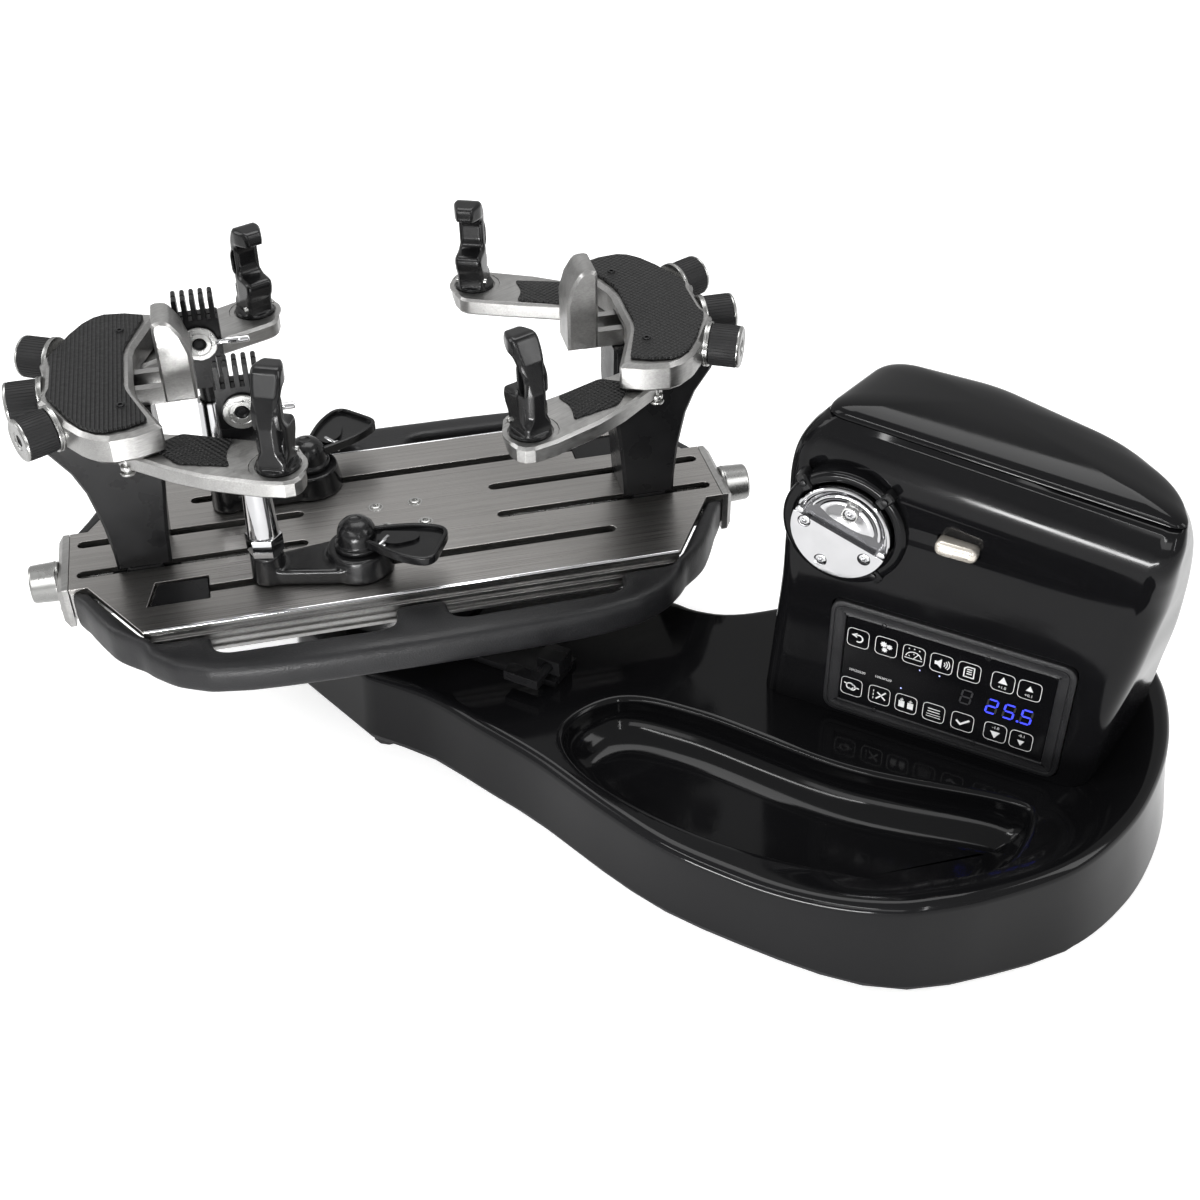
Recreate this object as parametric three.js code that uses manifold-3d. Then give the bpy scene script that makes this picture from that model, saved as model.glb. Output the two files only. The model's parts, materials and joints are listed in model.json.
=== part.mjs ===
// Racket stringing machine: a turntable that grips a racket frame at six points, two string
// clamps on its deck, and an electric tension head on a tower.
// Millimetres, Z up, table top at Z = 0. X runs along the base towards the tower, Y away from
// the user, and the turntable spins about the line X = Y = 0.
import * as THREE from "three";
import { mergeVertices } from "three/addons/utils/BufferGeometryUtils.js";
import Module from "manifold-3d";

const wasm = await Module();
wasm.setup();

// Clearances and shared values
const SEAT = 0.3; // gap left between pieces that touch
const RUN = 0.4; // gap round what turns or slides
const OVERRUN = 2; // how far a cutting solid passes its face
const MERGE = 0.001;
const SIDE_SHARE = 0.48; // the most of a side that a rounded corner takes

// Deck, which turns clear of the tower
const DECK_LENGTH = 528;
const DECK_WIDTH = 210;

// Heights
const FOOT_HEIGHT = 12;
const BASE_HEIGHT = 66; // cover with its pan
const DECK_RISE = 70; // deck top above the base cover
const HEAD_RISE = 140; // underside of the mounting heads above the deck
const BASE_BOTTOM = FOOT_HEIGHT;
const BASE_TOP = BASE_BOTTOM + BASE_HEIGHT;
const DECK_TOP = BASE_TOP + DECK_RISE;
const HEAD_BOTTOM = DECK_TOP + HEAD_RISE;

// Base
const TOWER_STANDOFF = 54; // deck's reach to the tower's left foot
const TOWER_WIDTH = 252;
const TOWER_INSET = 53; // tower's right foot to the right end of the base
const TOWER_LEFT = DECK_LENGTH / 2 + TOWER_STANDOFF;
const BASE_REACH = TOWER_LEFT + TOWER_WIDTH + TOWER_INSET; // turntable axis to the right end
const BASE_DEPTH = 174; // turntable axis to the foremost point of the base
const BASE_ROUND = 8; // rounded top edge
const BASE_DRAFT = 4; // how far the wall flares at its foot
const END_DRAFT = 6; // the further flare at the right end
const RIM_RISE = 18; // the rim's climb at the right end
const RIM_WIDTH = 17; // how far the rim's slope reaches inward
const RIM_SPREAD = 34; // what the climb adds to that reach
const RIM_START = 0.62; // where the rim starts and stops climbing, as shares of the reach
const RIM_END = 0.86;
const PAN_THICKNESS = 6;
const PAN_INSET = 3;
const TRAY_DEPTH = 34;
const TRAY_DRAFT = 15; // how far the tray's walls lean in
const FOOT_RADIUS = 14;

// Tower
const TOWER_DEPTH = 128;
const TOWER_FRONT = 11; // Y of the tower's front at the panel
const TOWER_LID = 13; // lid thickness
const TOWER_ROUND = 18;
const SEAM_GAP = 0.6;

// Control panel
const PANEL_BEFORE = 53; // tower's left foot to the panel
const PANEL_BEYOND = 19; // panel to the tower's right foot
const PANEL_LEFT = TOWER_LEFT + PANEL_BEFORE;
const PANEL_WIDTH = TOWER_WIDTH - PANEL_BEFORE - PANEL_BEYOND;
const PANEL_HEIGHT = 104;
const PANEL_LIFT = 5; // lower edge above the base cover
const PANEL_PROUD = 2.5;
const PANEL_DEPTH = 9;
const PANEL_ROUND = 9;
const PANEL_EDGE = 1;
const GLASS_MARGIN = 12;
const GLASS_THICKNESS = 2.2;
const GLASS_SINK = 1.4;

// Tension head
const DRUM_INSET = 55; // tower's left foot to the drum's axis
const DRUM_STANDOFF = 60; // panel's upper edge to the drum's axis
const DRUM_X = TOWER_LEFT + DRUM_INSET;
const DRUM_LIFT = PANEL_LIFT + PANEL_HEIGHT + DRUM_STANDOFF; // drum axis above the base cover
const TOWER_CROWN = 75; // drum axis to the seam of the lid
const TOWER_SEAM = DRUM_LIFT + TOWER_CROWN;
const DRUM_RADIUS = 36.5;
const DRUM_FRONT = 3; // Y of the drum's front face
const DRUM_DEPTH = 15;
const FLANGE_THICKNESS = 3;
const GROOVE_DEPTH = 5;
const FACE_THICKNESS = 5; // half plate at the front
const DRUM_CUT_ANGLE = THREE.MathUtils.degToRad(-18);
const COLLAR_WIDTH = 9.5;
const COLLAR_RADIUS = DRUM_RADIUS + COLLAR_WIDTH;
const COLLAR_PROUD = 4; // collar's front ahead of the drum's back
const SLOT_GAP = 6.8; // between the half plate's edge and the jaw, where the string goes
const JAW_INSET = 7.5;
const JAW_RADIUS = DRUM_RADIUS - JAW_INSET;
const JAW_FRONT = 5.5; // how far back the jaw's face lies
const STRING_POST_RADIUS = 3.2;
const STRING_POST_INSET = 4; // posts at both ends of the slot, in from the drum's edge
const STRING_POST_REACH = DRUM_RADIUS - STRING_POST_INSET;
const BUTTON_STANDOFF = 82; // drum axis to the button's middle
const BUTTON_RISE = 10;
const BUTTON_X = DRUM_X + BUTTON_STANDOFF;
const BUTTON_LIFT = DRUM_LIFT + BUTTON_RISE;
const BUTTON_WIDTH = 30;
const BUTTON_HEIGHT = 12;
const BUTTON_LENGTH = 16;
const BUTTON_TRAVEL = 3;
const BUTTON_PROUD = 7;
const BUTTON_EDGE = 1;

// Turntable and deck
const TURN = THREE.MathUtils.degToRad(41.2); // deck heading in the stored pose
const PEDESTAL_RADIUS = 72;
const PEDESTAL_HEIGHT = 15;
const HUB_RADIUS = 58;
const SPINDLE_RADIUS = 20;
const DECK_SKIN = 5;
const TAB_WIDTH = 76;
const TAB_LENGTH = 14;
const CHAMFER_LENGTH = 41;
const CHASSIS_HEIGHT = 24;
const CHASSIS_WALL = 3;
const CHASSIS_INSET = 2;
const RAIL_SHARE = 0.465; // of the way from the string clamps' slots to the deck's edge
const KEEL_WIDTH = TAB_WIDTH - CHASSIS_INSET;
const GROOVE_SIDE = 2.2;
const SLOT_WIDTH = 9;
const HEAD_HALF_SPAN = 94; // deck's middle line to the ends of the mounting heads
const STAND_INSET = 59; // deck's end to the stands' middle in the stored pose
const STAND_MIDDLE = DECK_LENGTH / 2 - STAND_INSET;
const STAND_SLOT_Y = 20.5;
const STAND_SLOT_BACK = 128; // stands' middle to the slots' inner ends
const STAND_SLOT_START = STAND_MIDDLE - STAND_SLOT_BACK;
const STAND_SLOT_MARGIN = 6;
const STAND_SLOT_END = DECK_LENGTH / 2 - STAND_SLOT_MARGIN;
const CLAMP_SLOT_START = DECK_LENGTH * -0.343;
const CLAMP_SLOT_END = DECK_LENGTH * 0.316;
const POCKET_WIDTH = 30;
const POCKET_LENGTH = 48;
const POCKET_SLANT = 7;
const END_PLATE_THICKNESS = 9;
const END_PLATE_HEIGHT = 36;
const END_PLATE_BEVEL = 4;

// Bumpers
const BUMPER_STANDOFF = 52; // how far it stands out from the deck's long side
const BUMPER_REACH = DECK_WIDTH / 2 + BUMPER_STANDOFF;
const BUMPER_BAR = 26;
const BUMPER_DROP = 9; // top below the deck
const BUMPER_HEIGHT = 28;
const BUMPER_EDGE = 4;
const LOBE_DROP = 1;
const LOBE_EDGE = 2.5;
const LOBE_LAP = 5; // how far a lobe runs on into the bar
const HOLD_LEAN = 0.985; // how much nearer the hand-hold's outer end is
const BUMPER_RIB = 40;
const HANDHOLD_REACH = DECK_LENGTH * 0.303;

// Lead screws that move the stands
const SCREW_DROP = DECK_SKIN + CHASSIS_HEIGHT / 2; // axis below the deck
const SCREW_RADIUS = 5.5;
const SCREW_BACK = 115; // stands' middle to the screws' inner ends
const SCREW_INNER = STAND_MIDDLE - SCREW_BACK;
const KNOB_LENGTH = 23;
const KNOB_RADIUS = 16.5;

// Stands
const STAND_FOOT = 42; // length of its foot along the deck
const STAND_INNER = STAND_MIDDLE - STAND_FOOT / 2;
const STAND_WIDTH = 48;
const STAND_EDGE = 2.5;
const KEY_MARGIN = 6; // keys of the slots, from the stand's ends
const CARRIAGE_SIDE = 7; // clearance to the keel's sides
const CARRIAGE_UNDER = 4.5; // clearance to the keel's floor, with its thickness
const CARRIAGE_WIDTH = KEEL_WIDTH - 2 * CARRIAGE_SIDE;
const CARRIAGE_LENGTH = 52;
const CARRIAGE_HEIGHT = CHASSIS_HEIGHT - CARRIAGE_UNDER;

// Mounting heads
const HEAD_THICKNESS = 23;
const HEAD_EDGE = 3;
const HEAD_ROUND = 14; // largest rounding of a head's corners
const HEAD_LENGTH = 65;
const HEAD_BACK = 20; // stands' middle to the heads' inner edges
const HEAD_INNER = STAND_MIDDLE - HEAD_BACK;
const HEAD_OUTER = HEAD_INNER + HEAD_LENGTH;
const PAD_THICKNESS = 3;
const PAD_MARGIN = 6;
const CHANNEL_WIDTH = 34;
const CHANNEL_HEIGHT = 15.5;
const HEAD_WALL = 9;
const CHANNEL_END = HEAD_OUTER - HEAD_WALL;

// Knobs of the heads
const GRIP_RADIUS = 16;
const GRIP_LENGTH = 22;
const GRIP_RING = 4;
const GRIP_RING_RADIUS = 17.5;
const GRIP_CAP = 2.5;
const GRIP_SHAFT_RADIUS = 4;
const GRIP_SHAFT_LENGTH = 12;
const SIDE_KNOB_ANGLE = THREE.MathUtils.degToRad(27);
const SIDE_KNOB_INSET = 8.5;
const SIDE_KNOB_X = HEAD_OUTER - SIDE_KNOB_INSET;
const SIDE_KNOB_Y = 49.5;
const CENTRE_SHAFT_LENGTH = 55;

// Inner supports that press outward against the hoop's ends
const SUPPORT_BAR_WIDTH = 7;
const SUPPORT_SIDE = 1.5; // clearance to the channel's sides
const SUPPORT_BAR_Y = (CHANNEL_WIDTH - SUPPORT_BAR_WIDTH) / 2 - SUPPORT_SIDE;
const SUPPORT_BAR_HEIGHT = 13.5;
const SUPPORT_REACH = 44;
const SUPPORT_INNER = HEAD_INNER - SUPPORT_REACH;
const SUPPORT_BLOCK = 24;
const SUPPORT_BLOCK_WIDTH = CHANNEL_WIDTH;
const SUPPORT_RISE = 66;
const SUPPORT_STOP = 13;
const SUPPORT_END = HEAD_OUTER - SUPPORT_STOP;
const SUPPORT_NUT = 10;
const SUPPORT_EDGE = 2;
const SUPPORT_ROUND = 8;

// Side arms
const ARM_THICKNESS = 14;
const ARM_PIVOT_INSET = 8;
const ARM_PIVOT_X = HEAD_INNER + ARM_PIVOT_INSET;
const ARM_PIVOT_SIDE = 30; // from the head's end
const ARM_PIVOT_Y = HEAD_HALF_SPAN - ARM_PIVOT_SIDE;
const ARM_PIN_RADIUS = 5;
const ARM_PIN_LENGTH = 11;
const ARM_EDGE = 2;
const ARM_ROUND = 14;
const ARM_DROP = 1.3; // arm's top below the head's underside
const ARM_REACH = 121; // pivot to the arm's free end along X
const ARM_FLARE = 49; // how far its free end stands outside the head's end
const ARM_SPREAD = HEAD_HALF_SPAN + ARM_FLARE;

// Shoulder clamps
const SHOULDER_INSET = 18.5; // arm's tip to the shoulder clamp
const SHOULDER_X = ARM_PIVOT_X - ARM_REACH + SHOULDER_INSET;
const SHOULDER_SIDE = 26; // from the arm's outermost Y
const SHOULDER_Y = ARM_SPREAD - SHOULDER_SIDE;
const SHOULDER_ANGLE = THREE.MathUtils.degToRad(67); // from -X towards -Y, towards the hoop
const SHOULDER_WIDTH = 22;
const SHOULDER_HEIGHT = 76;
const SHOULDER_DEPTH = 35;
const SHOULDER_FOOT = 16;
const SHOULDER_EDGE = 2;
const SHOULDER_ROUND = 12;
const SEAT_RADIUS = 21;
const SEAT_DEPTH = 2;

// String clamps, which run between the arms
const CLAMP_SLOT_Y = ARM_SPREAD * 0.4336;
const CLAMP_REACH = 70; // lock axis to the post
const SLIDER_KEY = 20;
const SLIDER_KEY_RISE = 1.2; // how far the key stands above the deck
const SLIDER_NUT = 26;
const SLIDER_NUT_THICKNESS = 4;
const SLIDER_STUB_RADIUS = 8;
const SLIDER_STUB_HEIGHT = 10;
const CASTING_HEIGHT = 20;
const CASTING_RADIUS = 27;
const PILLAR_RADIUS = 13;
const PILLAR_HEIGHT = 26;
const WEB_WIDTH = 24;
const WEB_HEIGHT = 13;
const DOME_RADIUS = 18;
const DOME_HEIGHT = 24;
const LOOP_LENGTH = 70;
const LOOP_WIDTH = 46;
const LOOP_BAR = 9;
const LOOP_THICKNESS = 8;
const LOOP_LIFT = 5;
const LOOP_EDGE = 1;
const HEX_FLATS = 25;
const HEX_HEIGHT = 16;
const POST_FOOT_RADIUS = 12.5;
const POST_TOP_RADIUS = 10;
const POST_BORE = 7.4;
const POST_BORE_DEPTH = 40;
const STEM_RADIUS = 7;
const LIFT = 14;
const JAW_WIDTH = 34;
const JAW_THICKNESS = 8;
const JAW_GAP = 1.6;
const CLAMP_DROP = 23; // underside of the clamp head below the mounting heads
const CLAMP_BODY_RISE = HEAD_RISE - CLAMP_DROP;
const POST_RISE = CLAMP_BODY_RISE - LIFT; // top of the post above the deck
const CLAMP_BODY_HEIGHT = 26;
const TOOTH_COUNT = 5;
const TOOTH_HEIGHT = 18;
const TOOTH_FILL = 0.55;
const JAW_HEIGHT = 77; // clamp head with its teeth
const CLAMP_TOP_RISE = CLAMP_BODY_RISE + JAW_HEIGHT;
const DIAL_RADIUS = 14;
const DIAL_THICKNESS = 3.5;
const DIAL_RISE = CLAMP_BODY_RISE + CLAMP_BODY_HEIGHT + DIAL_RADIUS;
const CAM_LENGTH = 38;
const CAM_WIDTH = 8;

// Places of the two string clamps on the deck: lock axis, heading of the post, lever heading
const FRONT_CLAMP_X = CLAMP_REACH + ARM_REACH * 0.62 - HEAD_INNER;
const FRONT_CLAMP_HEADING = THREE.MathUtils.degToRad(-2);
const FRONT_LEVER_HEADING = THREE.MathUtils.degToRad(-27);
const REAR_CLAMP_X = CLAMP_REACH + ARM_REACH * 0.397 - HEAD_INNER;
const REAR_CLAMP_HEADING = THREE.MathUtils.degToRad(11.5);
const REAR_LEVER_HEADING = THREE.MathUtils.degToRad(45);

// Brake under the deck
const BRAKE_X = 168;
const BRAKE_Y = -46;
const BRAKE_BRACKET = 20;
const BRAKE_HEIGHT = 20;
const BRAKE_ROD_RADIUS = 4;
const BRAKE_ROD_LENGTH = 34;
const BRAKE_PADDLE = 26;
const BRAKE_PADDLE_WIDTH = 12;
const TONGUE_HEIGHT = 6;
const TONGUE_WIDTH = 34;

// Facets
const CURVE = 2;
const SLIGHT_TURN = THREE.MathUtils.degToRad(35);
const ROUND = 18;
const FINE = 32;
const COARSE = 12;
const KNURL = 12;
const FINGER_CURVE = 3;

// Solids from closed geometries, and back
function toSolid(geometry) {
  const bare = new THREE.BufferGeometry();
  bare.setAttribute("position", geometry.getAttribute("position").clone());
  if (geometry.index) bare.setIndex(geometry.index.clone());
  const merged = mergeVertices(bare, MERGE);
  return new wasm.Manifold(
    new wasm.Mesh({
      numProp: 3,
      vertProperties: merged.attributes.position.array,
      triVerts: new Uint32Array(merged.index.array),
    }),
  );
}

function toGeometry(solid) {
  const mesh = solid.getMesh();
  const places = new Float32Array(mesh.numVert * 3);
  for (let i = 0; i < mesh.numVert; i += 1) {
    const from = i * mesh.numProp;
    places.set(mesh.vertProperties.subarray(from, from + 3), i * 3);
  }
  const geometry = new THREE.BufferGeometry();
  geometry.setAttribute("position", new THREE.BufferAttribute(places, 3));
  geometry.setIndex(new THREE.BufferAttribute(mesh.triVerts.slice(), 1));
  return geometry;
}

function join(...geometries) {
  return toGeometry(geometries.map(toSolid).reduce((whole, next) => whole.add(next)));
}

function cut(geometry, ...tools) {
  return toGeometry(tools.map(toSolid).reduce((left, tool) => left.subtract(tool), toSolid(geometry)));
}

function common(first, second) {
  return toGeometry(toSolid(first).intersect(toSolid(second)));
}

// Basic forms
function block(left, right, near, far, low, high) {
  const box = new THREE.BoxGeometry(right - left, far - near, high - low);
  return box.translate((left + right) / 2, (near + far) / 2, (low + high) / 2);
}

function drum(radius, low, high, sides = ROUND, topRadius = radius) {
  const cylinder = new THREE.CylinderGeometry(topRadius, radius, high - low, sides);
  return cylinder.rotateX(Math.PI / 2).translate(0, 0, (low + high) / 2);
}

// A solid of revolution about Z from points [radius, height], rising, that start and end on the axis
function turned(points, sides = ROUND) {
  const profile = points.map(([radius, height]) => new THREE.Vector2(radius, height));
  return new THREE.LatheGeometry(profile, sides).rotateX(Math.PI / 2);
}

function prism(shape, low, high, curve = CURVE) {
  const solid = new THREE.ExtrudeGeometry(shape, {
    depth: high - low,
    bevelEnabled: false,
    curveSegments: curve,
  });
  return solid.translate(0, 0, low);
}

// A prism with bevelled edges above and below, from counterclockwise corners [x, y, round]
function bevelled(corners, low, high, edge, curve = CURVE) {
  const small = insetCorners(corners, edge);
  const ring = (outline, height) =>
    rounded(outline)
      .getPoints(curve)
      .slice(0, -1)
      .map((point) => new THREE.Vector3(point.x, point.y, height));
  return loft([ring(small, low), ring(corners, low + edge), ring(corners, high - edge), ring(small, high)]);
}

// Corners of a counterclockwise outline moved inward by a distance
function insetCorners(corners, inset) {
  return corners.map(([x, y, round], i) => {
    const here = new THREE.Vector2(x, y);
    const before = here.clone().sub(new THREE.Vector2(...corners.at(i - 1).slice(0, 2)));
    const after = new THREE.Vector2(...corners[(i + 1) % corners.length].slice(0, 2)).sub(here);
    before.normalize();
    after.normalize();
    const reach = inset / (1 + before.dot(after));
    const inward = new THREE.Vector2(-before.y - after.y, before.x + after.x).multiplyScalar(reach);
    return [x + inward.x, y + inward.y, round];
  });
}

// What is drawn in X and Z stands up and runs from near to far along Y
function slab(shape, near, far, curve = CURVE) {
  return prism(shape, -far, -near, curve).rotateX(Math.PI / 2);
}

function bevelledSlab(corners, near, far, edge, curve = CURVE) {
  return bevelled(corners, -far, -near, edge, curve).rotateX(Math.PI / 2);
}

// A prism whose shape is drawn in Y and Z and runs along X
function rail(shape, left, right) {
  return prism(shape, left, right).rotateX(Math.PI / 2).rotateZ(Math.PI / 2);
}

// Turns what stands along Z so that it points along +X, or along -Y
function towardsX(geometry) {
  return geometry.rotateY(Math.PI / 2);
}

function towardsFront(geometry) {
  return geometry.rotateX(Math.PI / 2);
}

// Corners [x, y, round], each rounded over that length of its two sides, or nearly half of them.
// A turn under the slight one takes a single facet
function rounded(corners, slight = SLIGHT_TURN) {
  const shape = new THREE.Shape();
  corners.forEach(([x, y, round = 0], i) => {
    const here = new THREE.Vector2(x, y);
    const before = new THREE.Vector2(...corners.at(i - 1).slice(0, 2)).sub(here);
    const after = new THREE.Vector2(...corners[(i + 1) % corners.length].slice(0, 2)).sub(here);
    const enter = before.clone().setLength(Math.min(round, before.length() * SIDE_SHARE)).add(here);
    const leave = after.clone().setLength(Math.min(round, after.length() * SIDE_SHARE)).add(here);
    if (i === 0) shape.moveTo(enter.x, enter.y);
    else shape.lineTo(enter.x, enter.y);
    const turn = Math.PI - Math.acos(before.normalize().dot(after.normalize()));
    if (round > 0 && turn > slight) shape.quadraticCurveTo(here.x, here.y, leave.x, leave.y);
    else if (round > 0) shape.lineTo(leave.x, leave.y);
  });
  shape.closePath();
  return shape;
}

function rectangle(left, right, near, far, round = 0) {
  return [
    [left, near, round],
    [right, near, round],
    [right, far, round],
    [left, far, round],
  ];
}

// A slot with round ends along X
function stadium(left, right, middle, width) {
  const radius = width / 2;
  const shape = new THREE.Shape();
  shape.absarc(right - radius, middle, radius, -Math.PI / 2, Math.PI / 2);
  shape.absarc(left + radius, middle, radius, Math.PI / 2, 1.5 * Math.PI);
  shape.closePath();
  return shape;
}

// A closed solid through rings of points, lowest first, each ring counterclockwise
function loft(rings) {
  const count = rings[0].length;
  const places = rings.flat().flatMap((point) => [point.x, point.y, point.z]);
  const faces = [];
  for (let level = 0; level + 1 < rings.length; level += 1) {
    for (let i = 0; i < count; i += 1) {
      const a = level * count + i;
      const b = level * count + ((i + 1) % count);
      faces.push(a, b, b + count, a, b + count, a + count);
    }
  }
  const last = (rings.length - 1) * count;
  const cap = (ring) => ring.map((point) => new THREE.Vector2(point.x, point.y));
  THREE.ShapeUtils.triangulateShape(cap(rings[0]), []).forEach(([a, b, c]) => faces.push(a, c, b));
  THREE.ShapeUtils.triangulateShape(cap(rings.at(-1)), []).forEach(([a, b, c]) =>
    faces.push(last + a, last + b, last + c),
  );
  const geometry = new THREE.BufferGeometry();
  geometry.setAttribute("position", new THREE.Float32BufferAttribute(places, 3));
  geometry.setIndex(faces);
  return geometry;
}

// Materials
const glossBlack = { color: 0x0b0b0c, roughness: 0.12, metalness: 0 };
const satinBlack = { color: 0x151516, roughness: 0.45, metalness: 0 };
const rubberBlack = { color: 0x101011, roughness: 0.85, metalness: 0 };
const castAluminium = { color: 0xc4c4c2, roughness: 0.38, metalness: 1 };
const brushedSteel = { color: 0x8f8c88, roughness: 0.35, metalness: 1 };
const chrome = { color: 0xe6e6e8, roughness: 0.08, metalness: 1 };
const darkGlass = { color: 0x08080a, roughness: 0.05, metalness: 0 };
const ivory = { color: 0xe9e0d0, roughness: 0.25, metalness: 0.4 };

const machine = new THREE.Group();

function addPiece(group, name, geometry, look) {
  const mesh = new THREE.Mesh(geometry, new THREE.MeshStandardMaterial(look));
  mesh.name = name;
  group.add(mesh);
  return mesh;
}

// Base cover, pan and feet

// Outline of the base from its left front corner, as shares of the reach along X and depth along Y
const baseFrontShares = [
  [0.15, -0.667],
  [0.236, -0.73],
  [0.327, -0.8],
  [0.433, -0.92],
  [0.526, -1],
  [0.626, -1.02],
  [0.722, -1.012],
  [0.786, -0.968],
  [0.827, -0.893],
  [0.878, -0.741],
  [0.947, -0.443],
  [0.982, -0.12],
  [0.993, 0.18],
  [0.988, 0.48],
  [0.966, 0.76],
  [0.932, 0.97],
];
const baseRearShares = [
  [0.83, 1.1],
  [0.64, 1.08],
  [0.53, 0.85],
  [0.43, 0.54],
  [0.376, 0.466],
  [0.331, 0.471],
  [0.16, 0.46],
  [-0.02, 0.45],
  [-0.11, 0.3],
  [-0.135, 0],
  [-0.12, -0.35],
];
const baseCornerShare = [0.059, -0.672];
const baseLeftShare = [-0.085, -0.494];

function basePoint([along, across]) {
  return new THREE.Vector2(along * BASE_REACH, across * BASE_DEPTH);
}

function baseOutline() {
  const corner = basePoint(baseCornerShare);
  const shape = new THREE.Shape();
  shape.moveTo(corner.x, corner.y);
  shape.splineThru(baseFrontShares.map(basePoint));
  shape.splineThru(baseRearShares.map(basePoint));
  const left = basePoint(baseLeftShare);
  shape.lineTo(left.x, left.y);
  shape.closePath();
  return shape;
}

// Rings that step in from an outline: [inset, height] pairs, each a number or a rule for a point
function insetRings(outline, steps) {
  const count = outline.length;
  const at = (rule, point) => (typeof rule === "function" ? rule(point) : rule);
  return steps.map(([inset, height]) =>
    outline.map((point, i) => {
      const before = outline[(i + count - 1) % count];
      const after = outline[(i + 1) % count];
      const along = new THREE.Vector2(after.x - before.x, after.y - before.y).normalize();
      const reach = at(inset, point);
      return new THREE.Vector3(point.x - along.y * reach, point.y + along.x * reach, at(height, point));
    }),
  );
}

// The rim climbs towards the right end, where it borders the tower
function rimShare(point) {
  return THREE.MathUtils.smoothstep(point.x / BASE_REACH, RIM_START, RIM_END);
}

// A point of the slope inside the rim: how far in and how far down it lies, as shares
function rimStep(inward, down) {
  return [
    (point) => BASE_ROUND + inward * (RIM_WIDTH + RIM_SPREAD * rimShare(point)),
    (point) => BASE_TOP + RIM_RISE * rimShare(point) * (1 - down),
  ];
}

// The wall leans outward at its foot, most at the right end
function wallFoot(point) {
  return -BASE_DRAFT - END_DRAFT * THREE.MathUtils.smoothstep(point.x / BASE_REACH, RIM_END, 1);
}

const trayShares = [
  [0.331, -0.563],
  [0.366, -0.293],
  [0.465, -0.218],
  [0.661, -0.241],
  [0.841, -0.121],
  [0.875, -0.184],
  [0.864, -0.5],
  [0.8, -0.7],
  [0.717, -0.79],
  [0.599, -0.86],
  [0.483, -0.845],
  [0.38, -0.75],
];
const BASE_SAMPLES = 60;
const TRAY_SAMPLES = 30;

// The loop of an outline as evenly spaced points, counterclockwise
function spaced(curve, count) {
  const points = curve.getSpacedPoints(count).slice(0, count);
  const flat = points.map((point) => new THREE.Vector2(point.x, point.y));
  return THREE.ShapeUtils.isClockWise(flat) ? flat.reverse() : flat;
}

function trayHollow() {
  const points = trayShares.map(basePoint).map((point) => new THREE.Vector3(point.x, point.y, 0));
  const loop = spaced(new THREE.CatmullRomCurve3(points, true, "centripetal"), TRAY_SAMPLES);
  const floor = BASE_TOP - TRAY_DEPTH;
  const rings = insetRings(loop, [
    [TRAY_DRAFT, floor],
    [TRAY_DRAFT / 2, floor + TRAY_DEPTH / 6],
    [TRAY_DRAFT / 6, floor + TRAY_DEPTH / 2],
    [0, BASE_TOP - TRAY_DEPTH / 6],
    [-TRAY_DRAFT / 4, BASE_TOP],
    [-TRAY_DRAFT / 2, BASE_TOP + RIM_RISE + OVERRUN],
  ]);
  return loft(rings);
}

function baseCover() {
  const loop = spaced(baseOutline(), BASE_SAMPLES);
  const round = BASE_ROUND * (1 - Math.SQRT1_2);
  const rim = (point) => BASE_TOP + RIM_RISE * rimShare(point);
  const shell = loft(
    insetRings(loop, [
      [wallFoot, BASE_BOTTOM + PAN_THICKNESS + SEAT],
      [0, (point) => rim(point) - BASE_ROUND],
      [round, (point) => rim(point) - round],
      rimStep(0, 0),
      rimStep(0.35, 0.15),
      rimStep(0.75, 0.8),
      rimStep(1, 1),
    ]),
  );
  const foot = towerShares.slice(0, 2);
  const well = loft(foot.map(([share]) => towerRing(share, BASE_TOP + share * TOWER_SEAM, -SEAT)));
  return cut(shell, trayHollow(), well);
}

function basePan() {
  const loop = spaced(baseOutline(), BASE_SAMPLES);
  const inset = (point) => wallFoot(point) + PAN_INSET;
  return loft(
    insetRings(loop, [
      [inset, BASE_BOTTOM],
      [inset, BASE_BOTTOM + PAN_THICKNESS],
    ]),
  );
}

const footShares = {
  foot_front_left: [0.062, -0.56],
  foot_front_right: [0.822, -0.72],
  foot_rear_left: [-0.07, 0.28],
  foot_rear_right: [0.9, 0.8],
};

function addBase(group) {
  addPiece(group, "base_cover", baseCover(), glossBlack);
  addPiece(group, "base_pan", basePan(), satinBlack);
  for (const [name, share] of Object.entries(footShares)) {
    const place = basePoint(share);
    const foot = addPiece(group, name, drum(FOOT_RADIUS, 0, FOOT_HEIGHT - SEAT, COARSE), rubberBlack);
    foot.position.set(place.x, place.y, 0);
  }
}

// Tower

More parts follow.
